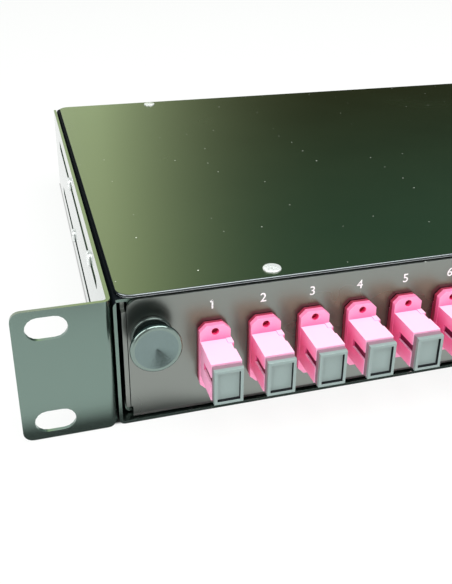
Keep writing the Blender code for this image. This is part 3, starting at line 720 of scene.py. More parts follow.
def ink_finish(name):
    """White screen-printed ink, thinner in places."""
    material, tree, shader = new_finish(name)
    grain = add_effect(tree, GRAIN, fine_scale=5200.0, broad_scale=900.0)
    thin, full = (0.80, 0.82, 0.81), (0.96, 0.97, 0.96)
    feed(tree, shader, {"Base Color": mix_colours(tree, grain["Tone"], thin, full),
                        "Roughness": uneven(tree, grain["Height"], least=0.4, spread=0.2)})
    return material


LID_PAINT = paint_finish(
    "lid_paint", (0.0088, 0.0145, 0.0014), roughness=0.26, ior=2.2, tint=(0.86, 1.0, 0.70),
    coat=0.14, dust_share=0.32)
# A glossier, more reflective copy of the paint on the lid's upper front easing: a painted highlight.
EDGE_HIGHLIGHT_PAINT = paint_finish(
    "edge_paint", (0.014, 0.017, 0.017), roughness=0.20, ior=3.0, tint=(0.86, 0.96, 1.0), coat=0.05)
# Pale grey on the lid's lower front easing: a painted highlight line.
LID_RIM_HIGHLIGHT = paint_finish(
    "lid_rim_paint", (0.50, 0.53, 0.55), roughness=0.30, ior=1.5, tint=(0.90, 0.96, 1.0), coat=0.20)
# Grey on the panel's lower front easing: a painted highlight line at its foot.
FOOT_HIGHLIGHT_PAINT = paint_finish(
    "foot_paint", (0.075, 0.075, 0.072), roughness=0.30, ior=1.5, tint=(1.0, 1.0, 1.0), coat=0.30)
CASE_PAINT = paint_finish(
    "case_paint", (0.010, 0.014, 0.012), roughness=0.24, ior=3.0, tint=(0.68, 1.0, 0.86), coat=0.03)
# A copy of the case paint with more olive reflections, on the ears' upper faces: a painted reflection tint.
EAR_TOP_TINT_PAINT = paint_finish(
    "rim_paint", (0.010, 0.014, 0.008), roughness=0.24, ior=3.0, tint=(0.84, 1.0, 0.70), coat=0.03)
DRAWER_PAINT = paint_finish(
    "drawer_paint", (0.005, 0.007, 0.006), roughness=0.28, ior=3.1, tint=(0.92, 1.0, 0.92), coat=0.22)
# Matt, barely reflecting near black where the lid meets the case: painted shade in the gap.
GAP_SHADE_PAINT = plastic_finish(
    "gap_paint", (0.006, 0.008, 0.010), (0.004, 0.006, 0.008), roughness=0.60, worn=(0.02, 0.02, 0.02),
    wear=0.2, skin=1400.0, ior=1.1)
# The body's tops are painted paler, as painted light; the flange's tops are painted darker, as painted
# shade by the panel.
PINK_PLASTIC = pink_skin("pink_plastic", upper=(0.98, 0.53, 0.72))
PINK_FLANGE = pink_skin("pink_flange", upper=(0.85, 0.20, 0.38))
# Dark crimson on the keyway's floor: painted shade in the slot.
PINK_SLOT_SHADE = plastic_finish(
    "pink_slot", (0.17, 0.007, 0.050), (0.13, 0.005, 0.040), roughness=0.5, worn=(0.24, 0.02, 0.07),
    ior=1.3)
# Deep crimson inside the flange holes: painted shade.
PINK_HOLE_SHADE = plastic_finish(
    "pink_hollow", (0.98, 0.080, 0.27), (0.90, 0.065, 0.23), roughness=0.45, worn=(0.70, 0.05, 0.17),
    ior=1.3)
# Dark crimson for the flange's rear layer: painted shade between the flange and the panel.
PINK_REAR_SHADE = plastic_finish(
    "pink_shade", (0.34, 0.020, 0.060), (0.28, 0.016, 0.048), roughness=0.40, worn=(0.40, 0.05, 0.10))
# A paler pink on the sockets' front rims, without the painted corner shade: painted light.
PINK_MOUTH_LIGHT = plastic_finish(
    "pink_mouth", (0.98, 0.50, 0.72), (0.96, 0.44, 0.66), roughness=0.36, worn=(1.0, 0.62, 0.82), wear=0.35)
CAP_PLASTIC = plastic_finish(
    "cap_plastic", (0.208, 0.275, 0.263), (0.178, 0.238, 0.227), roughness=0.32, worn=(0.36, 0.42, 0.41),
    wear=0.5, skin=2400.0, ior=2.3, tint=(0.88, 1.0, 0.98))
# Mauve for the cap's neck: painted shade with a painted pink reflection of the adapter.
CAP_NECK_SHADE = plastic_finish(
    "cap_neck_plastic", (0.27, 0.17, 0.21), (0.23, 0.14, 0.18), roughness=0.40, worn=(0.34, 0.24, 0.28),
    skin=2400.0)
# Near black, barely reflecting walls in the cap's recess: painted shade.
CAP_RECESS_SHADE = plastic_finish(
    "cap_hollow", (0.016, 0.019, 0.021), (0.012, 0.014, 0.016), roughness=0.6, worn=(0.022, 0.026, 0.027),
    wear=0.2, skin=2400.0, ior=1.2)
KNOB_PLASTIC = plastic_finish(
    "knob_plastic", (0.030, 0.040, 0.034), (0.022, 0.030, 0.026), roughness=0.16, worn=(0.12, 0.15, 0.14),
    wear=0.4, skin=1500.0, ior=3.3, tint=(0.78, 1.0, 0.92))
# A darker, less reflective copy of the knob plastic in the dish: painted shade.
KNOB_DISH_SHADE = plastic_finish(
    "knob_dish_plastic", (0.020, 0.030, 0.028), (0.014, 0.022, 0.020), roughness=0.20,
    worn=(0.08, 0.10, 0.10), wear=0.2, skin=1500.0, ior=3.0, tint=(0.76, 1.0, 0.98))
# Near black, barely reflecting on the knob's faces that look back: painted shade, which also darkens its
# reflection in the panel.
KNOB_BACK_SHADE = plastic_finish(
    "knob_back_plastic", (0.006, 0.018, 0.017), (0.004, 0.013, 0.012), roughness=0.5,
    worn=(0.02, 0.025, 0.025), wear=0.2, skin=1500.0, ior=1.25)
BUSH_PLASTIC = plastic_finish(
    "bush_plastic", (0.010, 0.014, 0.013), (0.007, 0.010, 0.009), roughness=0.20, worn=(0.06, 0.08, 0.075),
    skin=1500.0, ior=1.9, tint=(0.82, 1.0, 0.93))
CASSETTE_PLASTIC = plastic_finish(
    "cassette_plastic", (0.56, 0.57, 0.55), (0.50, 0.51, 0.50), roughness=0.45, worn=(0.70, 0.71, 0.69),
    skin=1200.0)
GROMMET_RUBBER = plastic_finish(
    "grommet_rubber", (0.026, 0.026, 0.026), (0.019, 0.019, 0.019), roughness=0.62, worn=(0.06, 0.06, 0.06),
    wear=0.4, skin=900.0, bump=0.0002)
SCREW_ZINC = screw_finish("screw_zinc")
NUMBER_WHITE = ink_finish("number_white")

ADAPTER_FINISHES = [PINK_PLASTIC, PINK_HOLE_SHADE, PINK_MOUTH_LIGHT, PINK_FLANGE, PINK_SLOT_SHADE]
CAP_FINISHES = [CAP_PLASTIC, CAP_RECESS_SHADE, CAP_NECK_SHADE]
KNOB_FINISHES = [KNOB_PLASTIC, KNOB_DISH_SHADE, KNOB_BACK_SHADE]
LID_FINISHES = [LID_PAINT, EDGE_HIGHLIGHT_PAINT, GAP_SHADE_PAINT, LID_RIM_HIGHLIGHT]


# Sheet-steel pieces

def dress_sheet(node, name, ease, finishes, body, slot, takes_second):
    """A packed sheet piece with eased edges, in its second finish on the faces that are picked."""
    piece = eased_copy(node, name, ease)
    choose_finish(piece, finishes, lambda middle, normal: finishes[takes_second(middle, normal)])
    dress(piece, finishes, body, slot, node)


def dress_sheet_pieces():
    """The case takes a matt painted shade beside the lid, the ears a more olive painted reflection tint on
    top and the panel a paler painted highlight at its foot.
    """
    def on_shoulder(middle, normal):
        return normal.z > SHOULDER_FACING and middle.z > CASE_HIGH.z - CASE_SHOULDER

    def on_rim(middle, normal):
        return normal.z > RIM_FACING and middle.z > EAR_HIGH.z - CASE_SHOULDER

    def at_foot(middle, normal):
        return normal.y < PANEL_FRONT_FACING and PANEL_FOOT_FACING[0] < normal.z < PANEL_FOOT_FACING[1]

    dress_sheet("case_shell", "folded_case", CASE_EASE, [CASE_PAINT, GAP_SHADE_PAINT], "case", "black_paint",
                on_shoulder)
    for side in ("left", "right"):
        dress_sheet("ear_bracket_" + side, "folded_ear_" + side, EAR_EASE, [CASE_PAINT, EAR_TOP_TINT_PAINT], "case",
                    "black_paint", on_rim)
    dress_sheet("drawer_tray", "folded_drawer", DRAWER_EASE, [DRAWER_PAINT, FOOT_HIGHLIGHT_PAINT], "drawer",
                "drawer_paint", at_foot)


def model_lid():
    """A plain plate with round corners; the screw heads cover its holes."""
    drawn_in = Vector((LID_SIDE_GAP, 0.0, 0.0))
    lid = add_block("lid_plate", LID_LOW + drawn_in, LID_HIGH - drawn_in)
    edit(lid)
    pick_edges(lambda way: abs(way.z) > SQUARE_ON)
    bpy.ops.mesh.bevel(offset=LID_CORNER, segments=LID_CORNER_STEPS, affect="EDGES")
    leave_edit()
    ease_edges(lid, LID_EASE, LID_EASE_STEPS)
    flatten_shading(lid)

    # The top keeps its paint; the sides, back, underside and upright front take painted shade, the upper
    # front easing a painted highlight and the lower front easing a pale painted highlight line.
    def finish_of(middle, normal):
        if normal.z > LID_TOP_FACING:
            return LID_PAINT
        if normal.y > LID_FRONT_FACING or abs(normal.z) < LID_EDGE_FACING:
            return GAP_SHADE_PAINT
        return EDGE_HIGHLIGHT_PAINT if normal.z > 0 else LID_RIM_HIGHLIGHT

    choose_finish(lid, LID_FINISHES, finish_of)
    dress(lid, LID_FINISHES, "case", "black_paint", "lid")


# Screws

def model_screw(name, place, head, rise, lean):
    """A low head with a cross recess; it looks up, or with a lean of 1 or -1 along or against X."""
    screw = add_rod(name, Vector(place) + Vector((0.0, 0.0, rise / 2)), head / 2, rise, "Z", SCREW_STEPS)
    edit(screw)
    pick_faces(lambda middle, normal: normal.z > SQUARE_ON)
    bpy.ops.mesh.bevel(offset=rise * SCREW_DOME_SHARE, segments=SCREW_DOME_STEPS, affect="EDGES")
    leave_edit()
    top = place[2] + rise
    for half in ((CROSS_LENGTH / 2, CROSS_WIDTH / 2), (CROSS_WIDTH / 2, CROSS_LENGTH / 2)):
        cut_block(screw, "cross_slot", (place[0] - half[0], place[1] - half[1], top - CROSS_DEPTH),
                  (place[0] + half[0], place[1] + half[1], top + CROSS_DEPTH))
    if lean:
        turn = Matrix.Rotation(lean * math.pi / 2, 4, "Y")
        screw.data.transform(Matrix.Translation(place) @ turn @ Matrix.Translation(-Vector(place)))
    smooth(screw)
    return screw


def model_screw_square(prefix, first, shift_one, shift_other):
    """Four screws: the first and its copies at one shift, the other, and both."""
    heads = [first]
    for number, shift in enumerate((shift_one, shift_other, shift_one + shift_other), start=2):
        heads.append(copied(first, f"{prefix}_{number}", shift))
    return heads


def model_screws():
    rows = (LID_LOW.y + LID_SCREW_INSET, LID_HIGH.y - LID_SCREW_INSET)
    first = model_screw("lid_screw_1", (-LID_SCREW_SPACING / 2, rows[0], LID_HIGH.z), LID_SCREW_HEAD,
                        LID_SCREW_RISE, 0)
    heads = model_screw_square("lid_screw", first, Vector((LID_SCREW_SPACING, 0.0, 0.0)),
                               Vector((0.0, rows[1] - rows[0], 0.0)))
    for side, sign in (("left", -1), ("right", 1)):
        bracket_low, bracket_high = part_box("ear_bracket_" + side)
        face = min((bracket_low.x, bracket_high.x), key=abs) + sign * BRACKET_SHEET
        place = (face, RACK_PLANE + SIDE_SCREW_FRONT, CASE_MIDDLE - SIDE_SCREW_SPACING / 2)
        prefix = "bracket_screw_" + side
        first = model_screw(prefix + "_1", place, SIDE_SCREW_HEAD, SIDE_SCREW_RISE, sign)
        heads += model_screw_square(prefix, first, Vector((0.0, SIDE_SCREW_STEP, 0.0)),
                                    Vector((0.0, 0.0, SIDE_SCREW_SPACING)))
    for head in heads:
        dress(head, [SCREW_ZINC], "case", "black_paint")


# Adapters and dust caps

def model_flange_layer(name, low, high):
    layer = add_block(name, low, high)
    edit(layer)
    pick_edges(lambda way: abs(way.y) > SQUARE_ON)
    bpy.ops.mesh.bevel(offset=FLANGE_CHAMFER, segments=1, affect="EDGES")
    leave_edit()
    return layer


def sink_socket(direction, width, centre):
    """In edit mode, sink a socket into the end face that looks along Y in the given direction."""
    pick_faces(lambda middle, normal: normal.y * direction > SQUARE_ON)
    side_wall = (width - SOCKET_WIDTH) / 2
    bpy.ops.mesh.inset(thickness=side_wall)
    inset_height = BODY_HEIGHT - 2 * side_wall
    bpy.ops.transform.resize(value=(1.0, 1.0, SOCKET_HEIGHT / inset_height), center_override=centre)
    extrude_along(-direction * SOCKET_DEPTH)


def model_adapter():
    """The first adapter's body, with a socket at each end and the front layer of its flange."""
    low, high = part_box("adapter_01")
    centre = (low + high) / 2
    left = low.x + FLANGE_LIP
    right = high.x - FLANGE_LIP
    bottom = centre.z - BODY_HEIGHT / 2
    top = centre.z + BODY_HEIGHT / 2
    adapter = add_block("adapter_body_01", (left, low.y, bottom), (right, high.y, top))
    edit(adapter)
    for direction in (-1, 1):
        sink_socket(direction, right - left, centre)
    leave_edit()
    seam = PANEL_FACE - FLANGE_BACK - FLANGE_REAR_LAYER
    face = seam - FLANGE_FRONT_LAYER
    front_layer = model_flange_layer("flange_front", (low.x, face, low.z), (high.x, seam, high.z))
    for row in (-1, 1):
        hole = add_rod("flange_hole", (centre.x, face, centre.z + row * FLANGE_HOLE_SPACING / 2),
                       FLANGE_HOLE / 2, 2 * FLANGE_HOLE_DEPTH, "Y", FLANGE_HOLE_STEPS)
        cut_solid(front_layer, hole)
    join_solid(adapter, front_layer)
    rib = add_block("corner_rib", (right - RIB_WIDTH, face - RIB_LENGTH, top - RIB_WIDTH),
                    (right + RIB_REACH, face + FLANGE_SEAM, top + RIB_RISE))
    join_solid(adapter, rib)
    keyway_middle = centre.z + KEYWAY_RISE
    cut_block(adapter, "keyway",
              (left - KEYWAY_REACH, low.y - KEYWAY_REACH, keyway_middle - KEYWAY_HEIGHT / 2),
              (left + KEYWAY_DEPTH, low.y + KEYWAY_LENGTH, keyway_middle + KEYWAY_HEIGHT / 2))
    notch_front = face - NOTCH_START - NOTCH_LENGTH
    cut_block(adapter, "clip_notch", (right - NOTCH_DEPTH, notch_front, top - NOTCH_HEIGHT),
              (right + NOTCH_DEPTH * 2, face - NOTCH_START, top + NOTCH_DEPTH * 2))
    web_middle = (centre.x, (low.y + high.y) / 2, centre.z)
    web = high.y - low.y - 2 * SOCKET_DEPTH
    boss_length = web + 2 * SLEEVE_RISE
    boss = add_rod("sleeve_boss", web_middle, SLEEVE_BOSS / 2, boss_length, "Y", SLEEVE_BOSS_STEPS)
    join_solid(adapter, boss)
    bore = add_rod("sleeve_bore", web_middle, SLEEVE_BORE / 2, 2 * web, "Y", SLEEVE_BORE_STEPS)
    cut_solid(adapter, bore)
    tidy_faces(adapter)
    ease_edges(adapter, ADAPTER_EASE)
    flatten_shading(adapter)

    # Besides the pink, the mouth rims take painted light, and the keyway floor and flange holes painted
    # shade.
    def finish_of(middle, normal):
        if normal.y < -SIDE_ON and middle.y < low.y + ADAPTER_EASE:
            return PINK_MOUTH_LIGHT
        if normal.x < -SIDE_ON and abs(middle.x - left - KEYWAY_DEPTH) < ADAPTER_EASE / 4:
            return PINK_SLOT_SHADE
        if not face - ADAPTER_EASE / 2 < middle.y < seam + ADAPTER_EASE:
            return PINK_PLASTIC
        off_hole = math.hypot(middle.x - centre.x, abs(middle.z - centre.z) - FLANGE_HOLE_SPACING / 2)
        in_hole = middle.y > face + ADAPTER_EASE and off_hole < FLANGE_HOLE / 2
        return PINK_HOLE_SHADE if in_hole else PINK_FLANGE

    choose_finish(adapter, ADAPTER_FINISHES, finish_of)
    return adapter


def model_adapter_flange():
    """The rear layer of the first adapter's flange, which goes round the body behind the seam."""
    low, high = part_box("adapter_01")
    centre = (low + high) / 2
    back = PANEL_FACE - FLANGE_BACK
    flange = model_flange_layer("adapter_flange_01", (low.x, back - FLANGE_REAR_LAYER, low.z + FLANGE_SEAM),
                                (high.x, back, high.z - FLANGE_SEAM))
    cut_block(flange, "body_opening", (low.x + FLANGE_LIP, low.y, centre.z - BODY_HEIGHT / 2),
              (high.x - FLANGE_LIP, high.y, centre.z + BODY_HEIGHT / 2))
    tidy_faces(flange)
    smooth(flange)
    return flange


def model_dust_cap():
    """The first dust cap: a rimmed head on a hollow stem."""
    low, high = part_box("dust_cap_01")
    top = high.z - CAP_TOP_GAP
    centre = (low + Vector((high.x, high.y, top))) / 2
    neck = low.y + CAP_HEAD + CAP_NECK_REACH
    cap = add_block("dust_plug_01", low, (high.x, low.y + CAP_PLATE, top))
    edit(cap)
    pick_faces(lambda middle, normal: normal.y < -SQUARE_ON)
    bpy.ops.transform.resize(value=(CAP_DRAFT, 1.0, CAP_DRAFT), center_override=(centre.x, low.y, low.z))
    pick_faces(lambda middle, normal: normal.y > SQUARE_ON)
    bpy.ops.mesh.inset(thickness=CAP_NECK_INSET)
    extrude_along(neck - low.y - CAP_PLATE)
    stem_room = (high.x - low.x - SOCKET_WIDTH) / 2 - CAP_NECK_INSET + CAP_STEM_GAP
    bpy.ops.mesh.inset(thickness=stem_room)
    stem_height = SOCKET_HEIGHT - 2 * CAP_STEM_GAP
    inset_height = top - low.z - 2 * (CAP_NECK_INSET + stem_room)
    bpy.ops.transform.resize(value=(1.0, 1.0, stem_height / inset_height),
                             center_override=(centre.x, neck, centre.z))
    extrude_along(high.y - neck)
    bpy.ops.mesh.inset(thickness=CAP_STEM_WALL)
    extrude_along(-CAP_STEM_HOLLOW)
    leave_edit()
    ease_edges(cap, CAP_EASE)
    edit(cap)
    pick_faces(lambda middle, normal: normal.y < -SQUARE_ON and middle.y < low.y + CAP_EASE)
    bpy.ops.mesh.inset(thickness=CAP_RIM - CAP_EASE)
    extrude_along(CAP_RECESS)
    leave_edit()
    flatten_shading(cap)

    # The cap's recess walls take painted shade and its neck a mauve painted shade.
    def finish_of(middle, normal):
        if abs(normal.y) > CAP_END_FACING:
            return CAP_PLASTIC
        if low.y + CAP_PLATE + CAP_EASE < middle.y < neck:
            return CAP_NECK_SHADE
        in_recess = (middle.y < low.y + CAP_RECESS
                     and abs(middle.x - centre.x) < (high.x - low.x) / 2 - CAP_RIM + CAP_EASE
                     and abs(middle.z - centre.z) < (top - low.z) / 2 - CAP_RIM + CAP_EASE)
        return CAP_RECESS_SHADE if in_recess else CAP_PLASTIC

    choose_finish(cap, CAP_FINISHES, finish_of)
    return cap


def model_ports():
    """Each port's adapter, flange layer and cap; the first ones are dressed last, after their copies."""
    firsts = (model_adapter(), model_adapter_flange(), model_dust_cap())
    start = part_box("adapter_01")[0].x
    for port in range(PORT_COUNT, 0, -1):
        number = f"{port:02d}"
        shift = (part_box("adapter_" + number)[0].x - start, 0.0, 0.0)
        adapter, flange, cap = (piece if port == 1 else copied(piece, piece.name[:-2] + number, shift)
                                for piece in firsts)
        dress(adapter, ADAPTER_FINISHES, "drawer", "pink_plastic", "adapter_" + number)
        # The rear flange layer is dressed in painted shade.
        dress(flange, [PINK_REAR_SHADE], "drawer", "pink_plastic", "adapter_" + number)
        dress(cap, CAP_FINISHES, "dust_cap_" + number, "cap_plastic", "dust_cap_" + number)
        cap.visible_glossy = False


# Latches, grommets and numbers

def model_knob(side):
    """A dished pull knob on a stepped neck and a shaft; gives where its axis meets the panel face."""
    low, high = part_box("knob_" + side)
    axis = Vector(((low.x + high.x) / 2, PANEL_FACE, (low.z + high.z) / 2))
    radius = (high.x - low.x) / 2
    face = PANEL_FACE - low.y
    back = KNOB_SEAT + KNOB_NECK
    tip = PANEL_FACE - high.y
    neck = KNOB_SHAFT + KNOB_NECK_STEP
    dish = radius - KNOB_RIM
    profile = [(dish * step / KNOB_DISH_STEPS, face - KNOB_DISH * (1 - step / KNOB_DISH_STEPS))
               for step in range(KNOB_DISH_STEPS + 1)]
    profile += quarter((radius - KNOB_EDGE, face - KNOB_EDGE), KNOB_EDGE, 90, 0, KNOB_EDGE_STEPS)
    profile += [(radius, face - KNOB_SIDE), (neck + 2 * KNOB_FILLET, back), (neck, back - KNOB_FILLET),
                (neck, KNOB_SEAT), (KNOB_SHAFT, KNOB_SEAT), (KNOB_SHAFT, tip + KNOB_FILLET),
                (KNOB_SHAFT - KNOB_FILLET, tip), (0.0, tip)]
    knob = spun("pull_knob_" + side, axis, profile, False)
    smooth(knob, KNOB_SMOOTH_ANGLE)
    dish_edge = PANEL_FACE - face + KNOB_DISH

    # The knob's back faces take painted shade, and its dish a darker painted shade.
    def finish_of(middle, normal):
        if normal.y > KNOB_FRONT_FACING:
            return KNOB_BACK_SHADE
        in_dish = math.hypot(middle.x - axis.x, middle.z - axis.z) < dish and middle.y < dish_edge
        return KNOB_DISH_SHADE if in_dish else KNOB_PLASTIC

    choose_finish(knob, KNOB_FINISHES, finish_of)
    dress(knob, KNOB_FINISHES, "knob_" + side, "knob_plastic", "knob_" + side)
    return axis


def model_bush(side, axis):
    """The collared bush in the panel, its barrel slit so that it can spread behind the catch."""
    low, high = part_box("latch_bush_" + side)
    collar = (high.x - low.x) / 2
    face = PANEL_FACE - low.y
    rear = PANEL_FACE - high.y
    ease = (face - BUSH_SEAT) / 2
    profile = [(BUSH_BORE, face)] + quarter((collar - ease, face - ease), ease, 90, 0)
    profile += [(collar, BUSH_SEAT), (BUSH_BARREL, BUSH_SEAT), (BUSH_BARREL, rear + BUSH_TIP),
                (BUSH_BARREL - BUSH_TIP, rear), (BUSH_BORE, rear)]
    bush = spun("latch_collar_" + side, axis, profile, True)
    for half in ((collar, BUSH_SLIT / 2), (BUSH_SLIT / 2, collar)):
        cut_block(bush, "bush_slit", (axis.x - half[0], PANEL_FACE + BUSH_SLIT_START, axis.z - half[1]),
                  (axis.x + half[0], PANEL_FACE - rear + BUSH_SLIT, axis.z + half[1]))
    smooth(bush)
    dress(bush, [BUSH_PLASTIC], "drawer", "bush_plastic", "latch_bush_" + side)


def model_latches():
    for side in ("left", "right"):
        axis = model_knob(side)
        model_bush(side, axis)


def model_grommets():
    """A lipped rubber ring in each rear cable hole."""
    for side in ("left", "right"):
        low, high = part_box("cable_grommet_" + side)
        axis = ((low.x + high.x) / 2, CASE_HIGH.y, (low.z + high.z) / 2)
        lip = (high.x - low.x) / 2
        front = CASE_WALL + GROMMET_GAP
        back = -GROMMET_GAP
        ease = GROMMET_FACE / 2
        profile = [(GROMMET_BORE + GROMMET_FLARE, front + GROMMET_FACE)]
        profile += quarter((lip - ease, front + GROMMET_FACE - ease), ease, 90, 0)
        profile += [(lip, front), (GROMMET_BARREL, front), (GROMMET_BARREL, back), (lip, back)]
        profile += quarter((lip - ease, back - GROMMET_FACE + ease), ease, 0, -90)
        profile += [(GROMMET_BORE + GROMMET_FLARE, back - GROMMET_FACE),
                    (GROMMET_BORE, back - GROMMET_FLARE_START), (GROMMET_BORE, front + GROMMET_FLARE_START)]
        dress(spun("cable_seal_" + side, axis, profile, True), [GROMMET_RUBBER], "case", "grommet_rubber",
              "cable_grommet_" + side)


def print_digit(digit, middle):
    """One printed digit standing on the panel face; a 1 gets its slanting flag."""
    start_piece()
    bpy.ops.object.text_add(rotation=(math.pi / 2, 0.0, 0.0))
    printed = bpy.context.object
    printed.data.body = digit
    printed.data.align_x = "CENTER"
    printed.data.size = NUMBER_HEIGHT / FONT_HEIGHT
    printed.data.offset = NUMBER_BOLD
    printed.data.extrude = NUMBER_INK / 2
    bpy.ops.object.convert(target="MESH")
    printed = bpy.context.object
    printed.location = (middle, PANEL_FACE, NUMBER_RISE - NUMBER_HEIGHT / 2)
    settle()
    if digit != "1":
        return [printed]
    tip = Vector((middle, PANEL_FACE, NUMBER_RISE + NUMBER_HEIGHT / 2))
    flag = add_block("flag", tip - Vector((FLAG_LENGTH, NUMBER_INK / 2, FLAG_THICKNESS)),
                     tip + Vector((0.0, NUMBER_INK / 2, 0.0)))
    edit(flag)
    pick_all()
    bpy.ops.transform.rotate(value=FLAG_SLANT, orient_axis="Y", center_override=tip)
    leave_edit()
    return [printed, flag]


def model_numbers():
    """Port numbers printed on the panel above the adapters, joined into one piece."""
    digits = []
    for port in range(1, PORT_COUNT + 1):
        low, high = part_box(f"adapter_{port:02d}")
        label = str(port)
        first = (low.x + high.x) / 2 - DIGIT_STEP * (len(label) - 1) / 2
        for index, digit in enumerate(label):
            digits += print_digit(digit, first + index * DIGIT_STEP)
    start_piece()
    for digit in digits:
        digit.select_set(True)
    bpy.context.view_layer.objects.active = digits[0]
    bpy.ops.object.join()
    printed = bpy.context.object
    printed.name = "port_numbers"
    dress(printed, [NUMBER_WHITE], "drawer", "drawer_paint")


# Floor, light and camera

def build_world():
    """White to the camera and plain for lighting; the gloss sees a dim room that is bright low in front."""
    world = bpy.data.worlds.new("white_room")
    bpy.context.scene.world = world
    world.use_nodes = True
    tree = world.node_tree
    to_camera = light_path_mask(tree, "Is Camera Ray", "Is Transmission Ray")
    way = split_vector(tree, add_node(tree, "ShaderNodeTexCoord").outputs["Generated"])
    low_front = math_node(tree, "MULTIPLY", ramp_between(tree, way["Y"], *ROOM_FRONT),
                          ramp_between(tree, way["Z"], *ROOM_LOW))
    mirrored = math_node(tree, "MULTIPLY_ADD", low_front, 1.0 - ROOM_IN_GLOSS, ROOM_IN_GLOSS)
    strength = mix_values(tree, light_path_mask(tree, "Is Glossy Ray"), ROOM_LIGHT, mirrored)
    feed(tree, tree.nodes["Background"], {"Color": WHITE, "Strength": greatest(tree, to_camera, strength)})


def bare_material(name):
    """A material with only its output, for the stage."""
    material = bpy.data.materials.new(name)
    material.use_nodes = True
    tree = material.node_tree
    tree.nodes.remove(tree.nodes["Principled BSDF"])
    return material, tree, tree.nodes["Material Output"]


def floor_brightness(tree):
    """How bright the floor glows to the camera, with a painted shadow under the object, and to the gloss,
    which sees painted shadows at the front's foot and under the lens.
    """
    place = split_vector(tree, object_place(tree))
    across = math_node(tree, "ABSOLUTE", place["X"])
    ahead = math_node(tree, "SUBTRACT", RACK_PLANE, place["Y"])
    beside = ramp_between(tree, across, FOOT_HALF - FOOT_HALF_FADE, FOOT_HALF + FOOT_HALF_FADE)
    behind = ramp_between(tree, place["Y"], CASE_HIGH.y, CASE_HIGH.y + FLOOR_BEHIND_FADE)
    # Under the object the glow stops: a painted shadow there.
    shown = greatest(tree, ramp_between(tree, ahead, *FLOOR_SHOWN), beside, behind)

    # The gloss sees the floor darkened in front of the foot, less so to the right: a painted shadow.
    narrowed = math_node(tree, "MULTIPLY_ADD", ramp_between(tree, place["X"], *FOOT_SHADE_NARROWS),
                         FOOT_SHADE_NARROWING, 1.0)
    past_foot = ramp_between(tree, math_node(tree, "MULTIPLY", ahead, narrowed), FOOT_FADE, FOOT_SHADE)
    at_foot = math_node(tree, "MULTIPLY", ramp_between(tree, ahead, *FOOT_IN_GLOSS_FADE), FOOT_IN_GLOSS)
    behind_ears = math_node(tree, "MULTIPLY", beside, ramp_between(tree, ahead, FOOT_FADE, -FOOT_FADE))
    past_ears = ramp_between(tree, across, -EAR_LOW.x, -EAR_LOW.x + PAST_EARS_FADE)
    in_gloss = greatest(tree, behind_ears, past_foot, at_foot, behind, past_ears)

    # The gloss sees a soft dark patch under the lens: a painted shadow.
    lens_inputs = {"Vector": object_place(tree), "Location": LENS_SHADE, "Scale": LENS_SHADE_SIZE}
    to_lens = add_node(tree, "ShaderNodeMapping", lens_inputs, vector_type="TEXTURE").outputs["Vector"]
    near_lens = add_node(tree, "ShaderNodeVectorMath", {0: to_lens}, operation="LENGTH").outputs["Value"]
    in_gloss = math_node(tree, "MULTIPLY", in_gloss, ramp_between(tree, near_lens, *LENS_SHADE_FADE))

    far_behind = math_node(tree, "MULTIPLY", behind, ramp_between(tree, place["X"], *FLOOR_FAR_BEHIND))
    far_off = greatest(tree, ramp_between(tree, place["X"], *FLOOR_FAR_SIDE), far_behind)
    dimmed = math_node(tree, "MULTIPLY_ADD", far_off, FLOOR_IN_GLOSS - 1.0, 1.0)
    return shown, math_node(tree, "MULTIPLY", in_gloss, dimmed)


def build_floor():
    """A pale floor that is nearly all glow to the camera, and so takes only a faint shadow; its glow
    carries painted shadows.
    """
    start_piece()
    bpy.ops.mesh.primitive_plane_add(size=FLOOR_SIZE, location=(0.0, 0.0, cad_bounds[0][2] - FLOOR_DROP))
    floor = bpy.context.object
    floor.name = "floor"
    settle()
    material, tree, output = bare_material("floor_white")
    shown, in_gloss = floor_brightness(tree)
    to_camera = light_path_mask(tree, "Is Camera Ray")
    glow = add_node(tree, "ShaderNodeEmission",
                    {"Color": FLOOR_GLOW, "Strength": mix_values(tree, to_camera, in_gloss, shown)})
    paper = add_node(tree, "ShaderNodeBsdfDiffuse", {"Color": FLOOR_PAPER})
    share = greatest(tree, math_node(tree, "MULTIPLY", to_camera, FLOOR_GLOW_SHARE),
                     light_path_mask(tree, "Is Glossy Ray", "Is Transmission Ray"))
    mixed = add_node(tree, "ShaderNodeMixShader",
                     {"Fac": share, 1: paper.outputs["BSDF"], 2: glow.outputs["Emission"]})
    feed(tree, output, {"Surface": mixed.outputs["Shader"]})
    floor.data.materials.append(material)


def add_soft_light(name, place, target, size, power):
    start_piece()
    bpy.ops.object.light_add(type="AREA", location=place)
    lamp = bpy.context.object
    lamp.name = name
    lamp.data.shape = "SQUARE"
    lamp.data.size = size
    lamp.data.energy = power
    lamp.rotation_euler = (Vector(target) - Vector(place)).to_track_quat("-Z", "Y").to_euler()


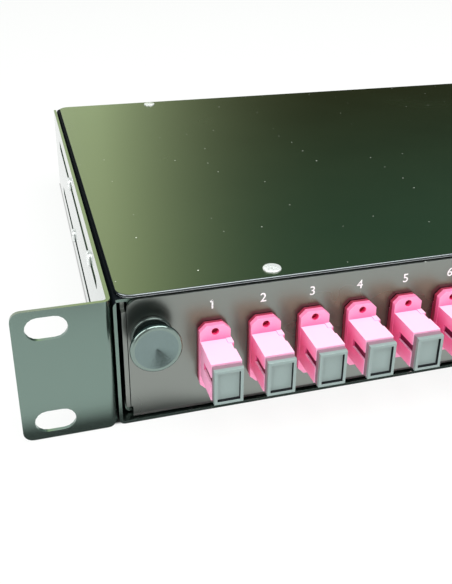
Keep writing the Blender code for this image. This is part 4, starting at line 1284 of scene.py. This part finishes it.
def add_back_card():
    """A card behind, pale at the left, dark at the right and bluer higher up, which only gloss can see."""
    start_piece()
    bpy.ops.mesh.primitive_plane_add(size=1.0, location=CARD_PLACE, rotation=(math.pi / 2, 0.0, 0.0))
    card = bpy.context.object
    card.name = "back_card"
    card.scale = CARD_SIZE
    settle()
    material, tree, output = bare_material("card_olive_to_black")
    place = split_vector(tree, object_place(tree))
    rise = ramp_between(tree, place["Z"], *CARD_RISE)
    left = add_node(tree, "ShaderNodeMapRange",
                    {"Value": place["X"], "From Min": CARD_FALL[1], "From Max": CARD_FALL[0]})
    left = math_node(tree, "POWER", left.outputs["Result"], CARD_FALL_POWER)
    pale = mix_colours(tree, rise, CARD_PALE_LOW, CARD_PALE_HIGH)
    dark = mix_colours(tree, rise, CARD_DARK_LOW, CARD_DARK_HIGH)
    past_side = ramp_between(tree, place["X"], *CARD_WHITE)
    colour = mix_colours(tree, past_side, mix_colours(tree, left, dark, pale), CARD_WHITE_COLOUR)
    glow = add_node(tree, "ShaderNodeEmission", {"Color": colour})
    feed(tree, output, {"Surface": glow.outputs["Emission"]})
    card.data.materials.append(material)
    card.visible_camera = False
    card.visible_diffuse = False
    card.visible_shadow = False


def build_camera():
    start_piece()
    bpy.ops.object.camera_add()
    camera = bpy.context.object
    camera.name = "photo_camera"
    turn = Matrix((CAMERA_RIGHT, CAMERA_UP, CAMERA_BACK)).transposed().to_4x4()
    camera.matrix_world = Matrix.Translation(CAMERA_PLACE) @ turn
    camera.data.sensor_width = CAMERA_SENSOR
    camera.data.lens = CAMERA_LENS
    camera.data.shift_y = CAMERA_SHIFT_Y
    camera.data.clip_start = CAMERA_NEAREST
    bpy.context.scene.camera = camera


dress_sheet_pieces()
model_lid()
model_screws()
model_ports()
model_latches()
model_grommets()
dress(eased_copy("splice_cassette", "fibre_cassette", CASSETTE_EASE), [CASSETTE_PLASTIC], "drawer",
      "cassette_plastic", "splice_cassette")
model_numbers()
build_world()
build_floor()
add_soft_light("overhead_soft", **OVERHEAD_LAMP)
add_soft_light("side_soft", **SIDE_LAMP)
add_back_card()
build_camera()
bpy.context.scene.view_settings.view_transform = "Standard"
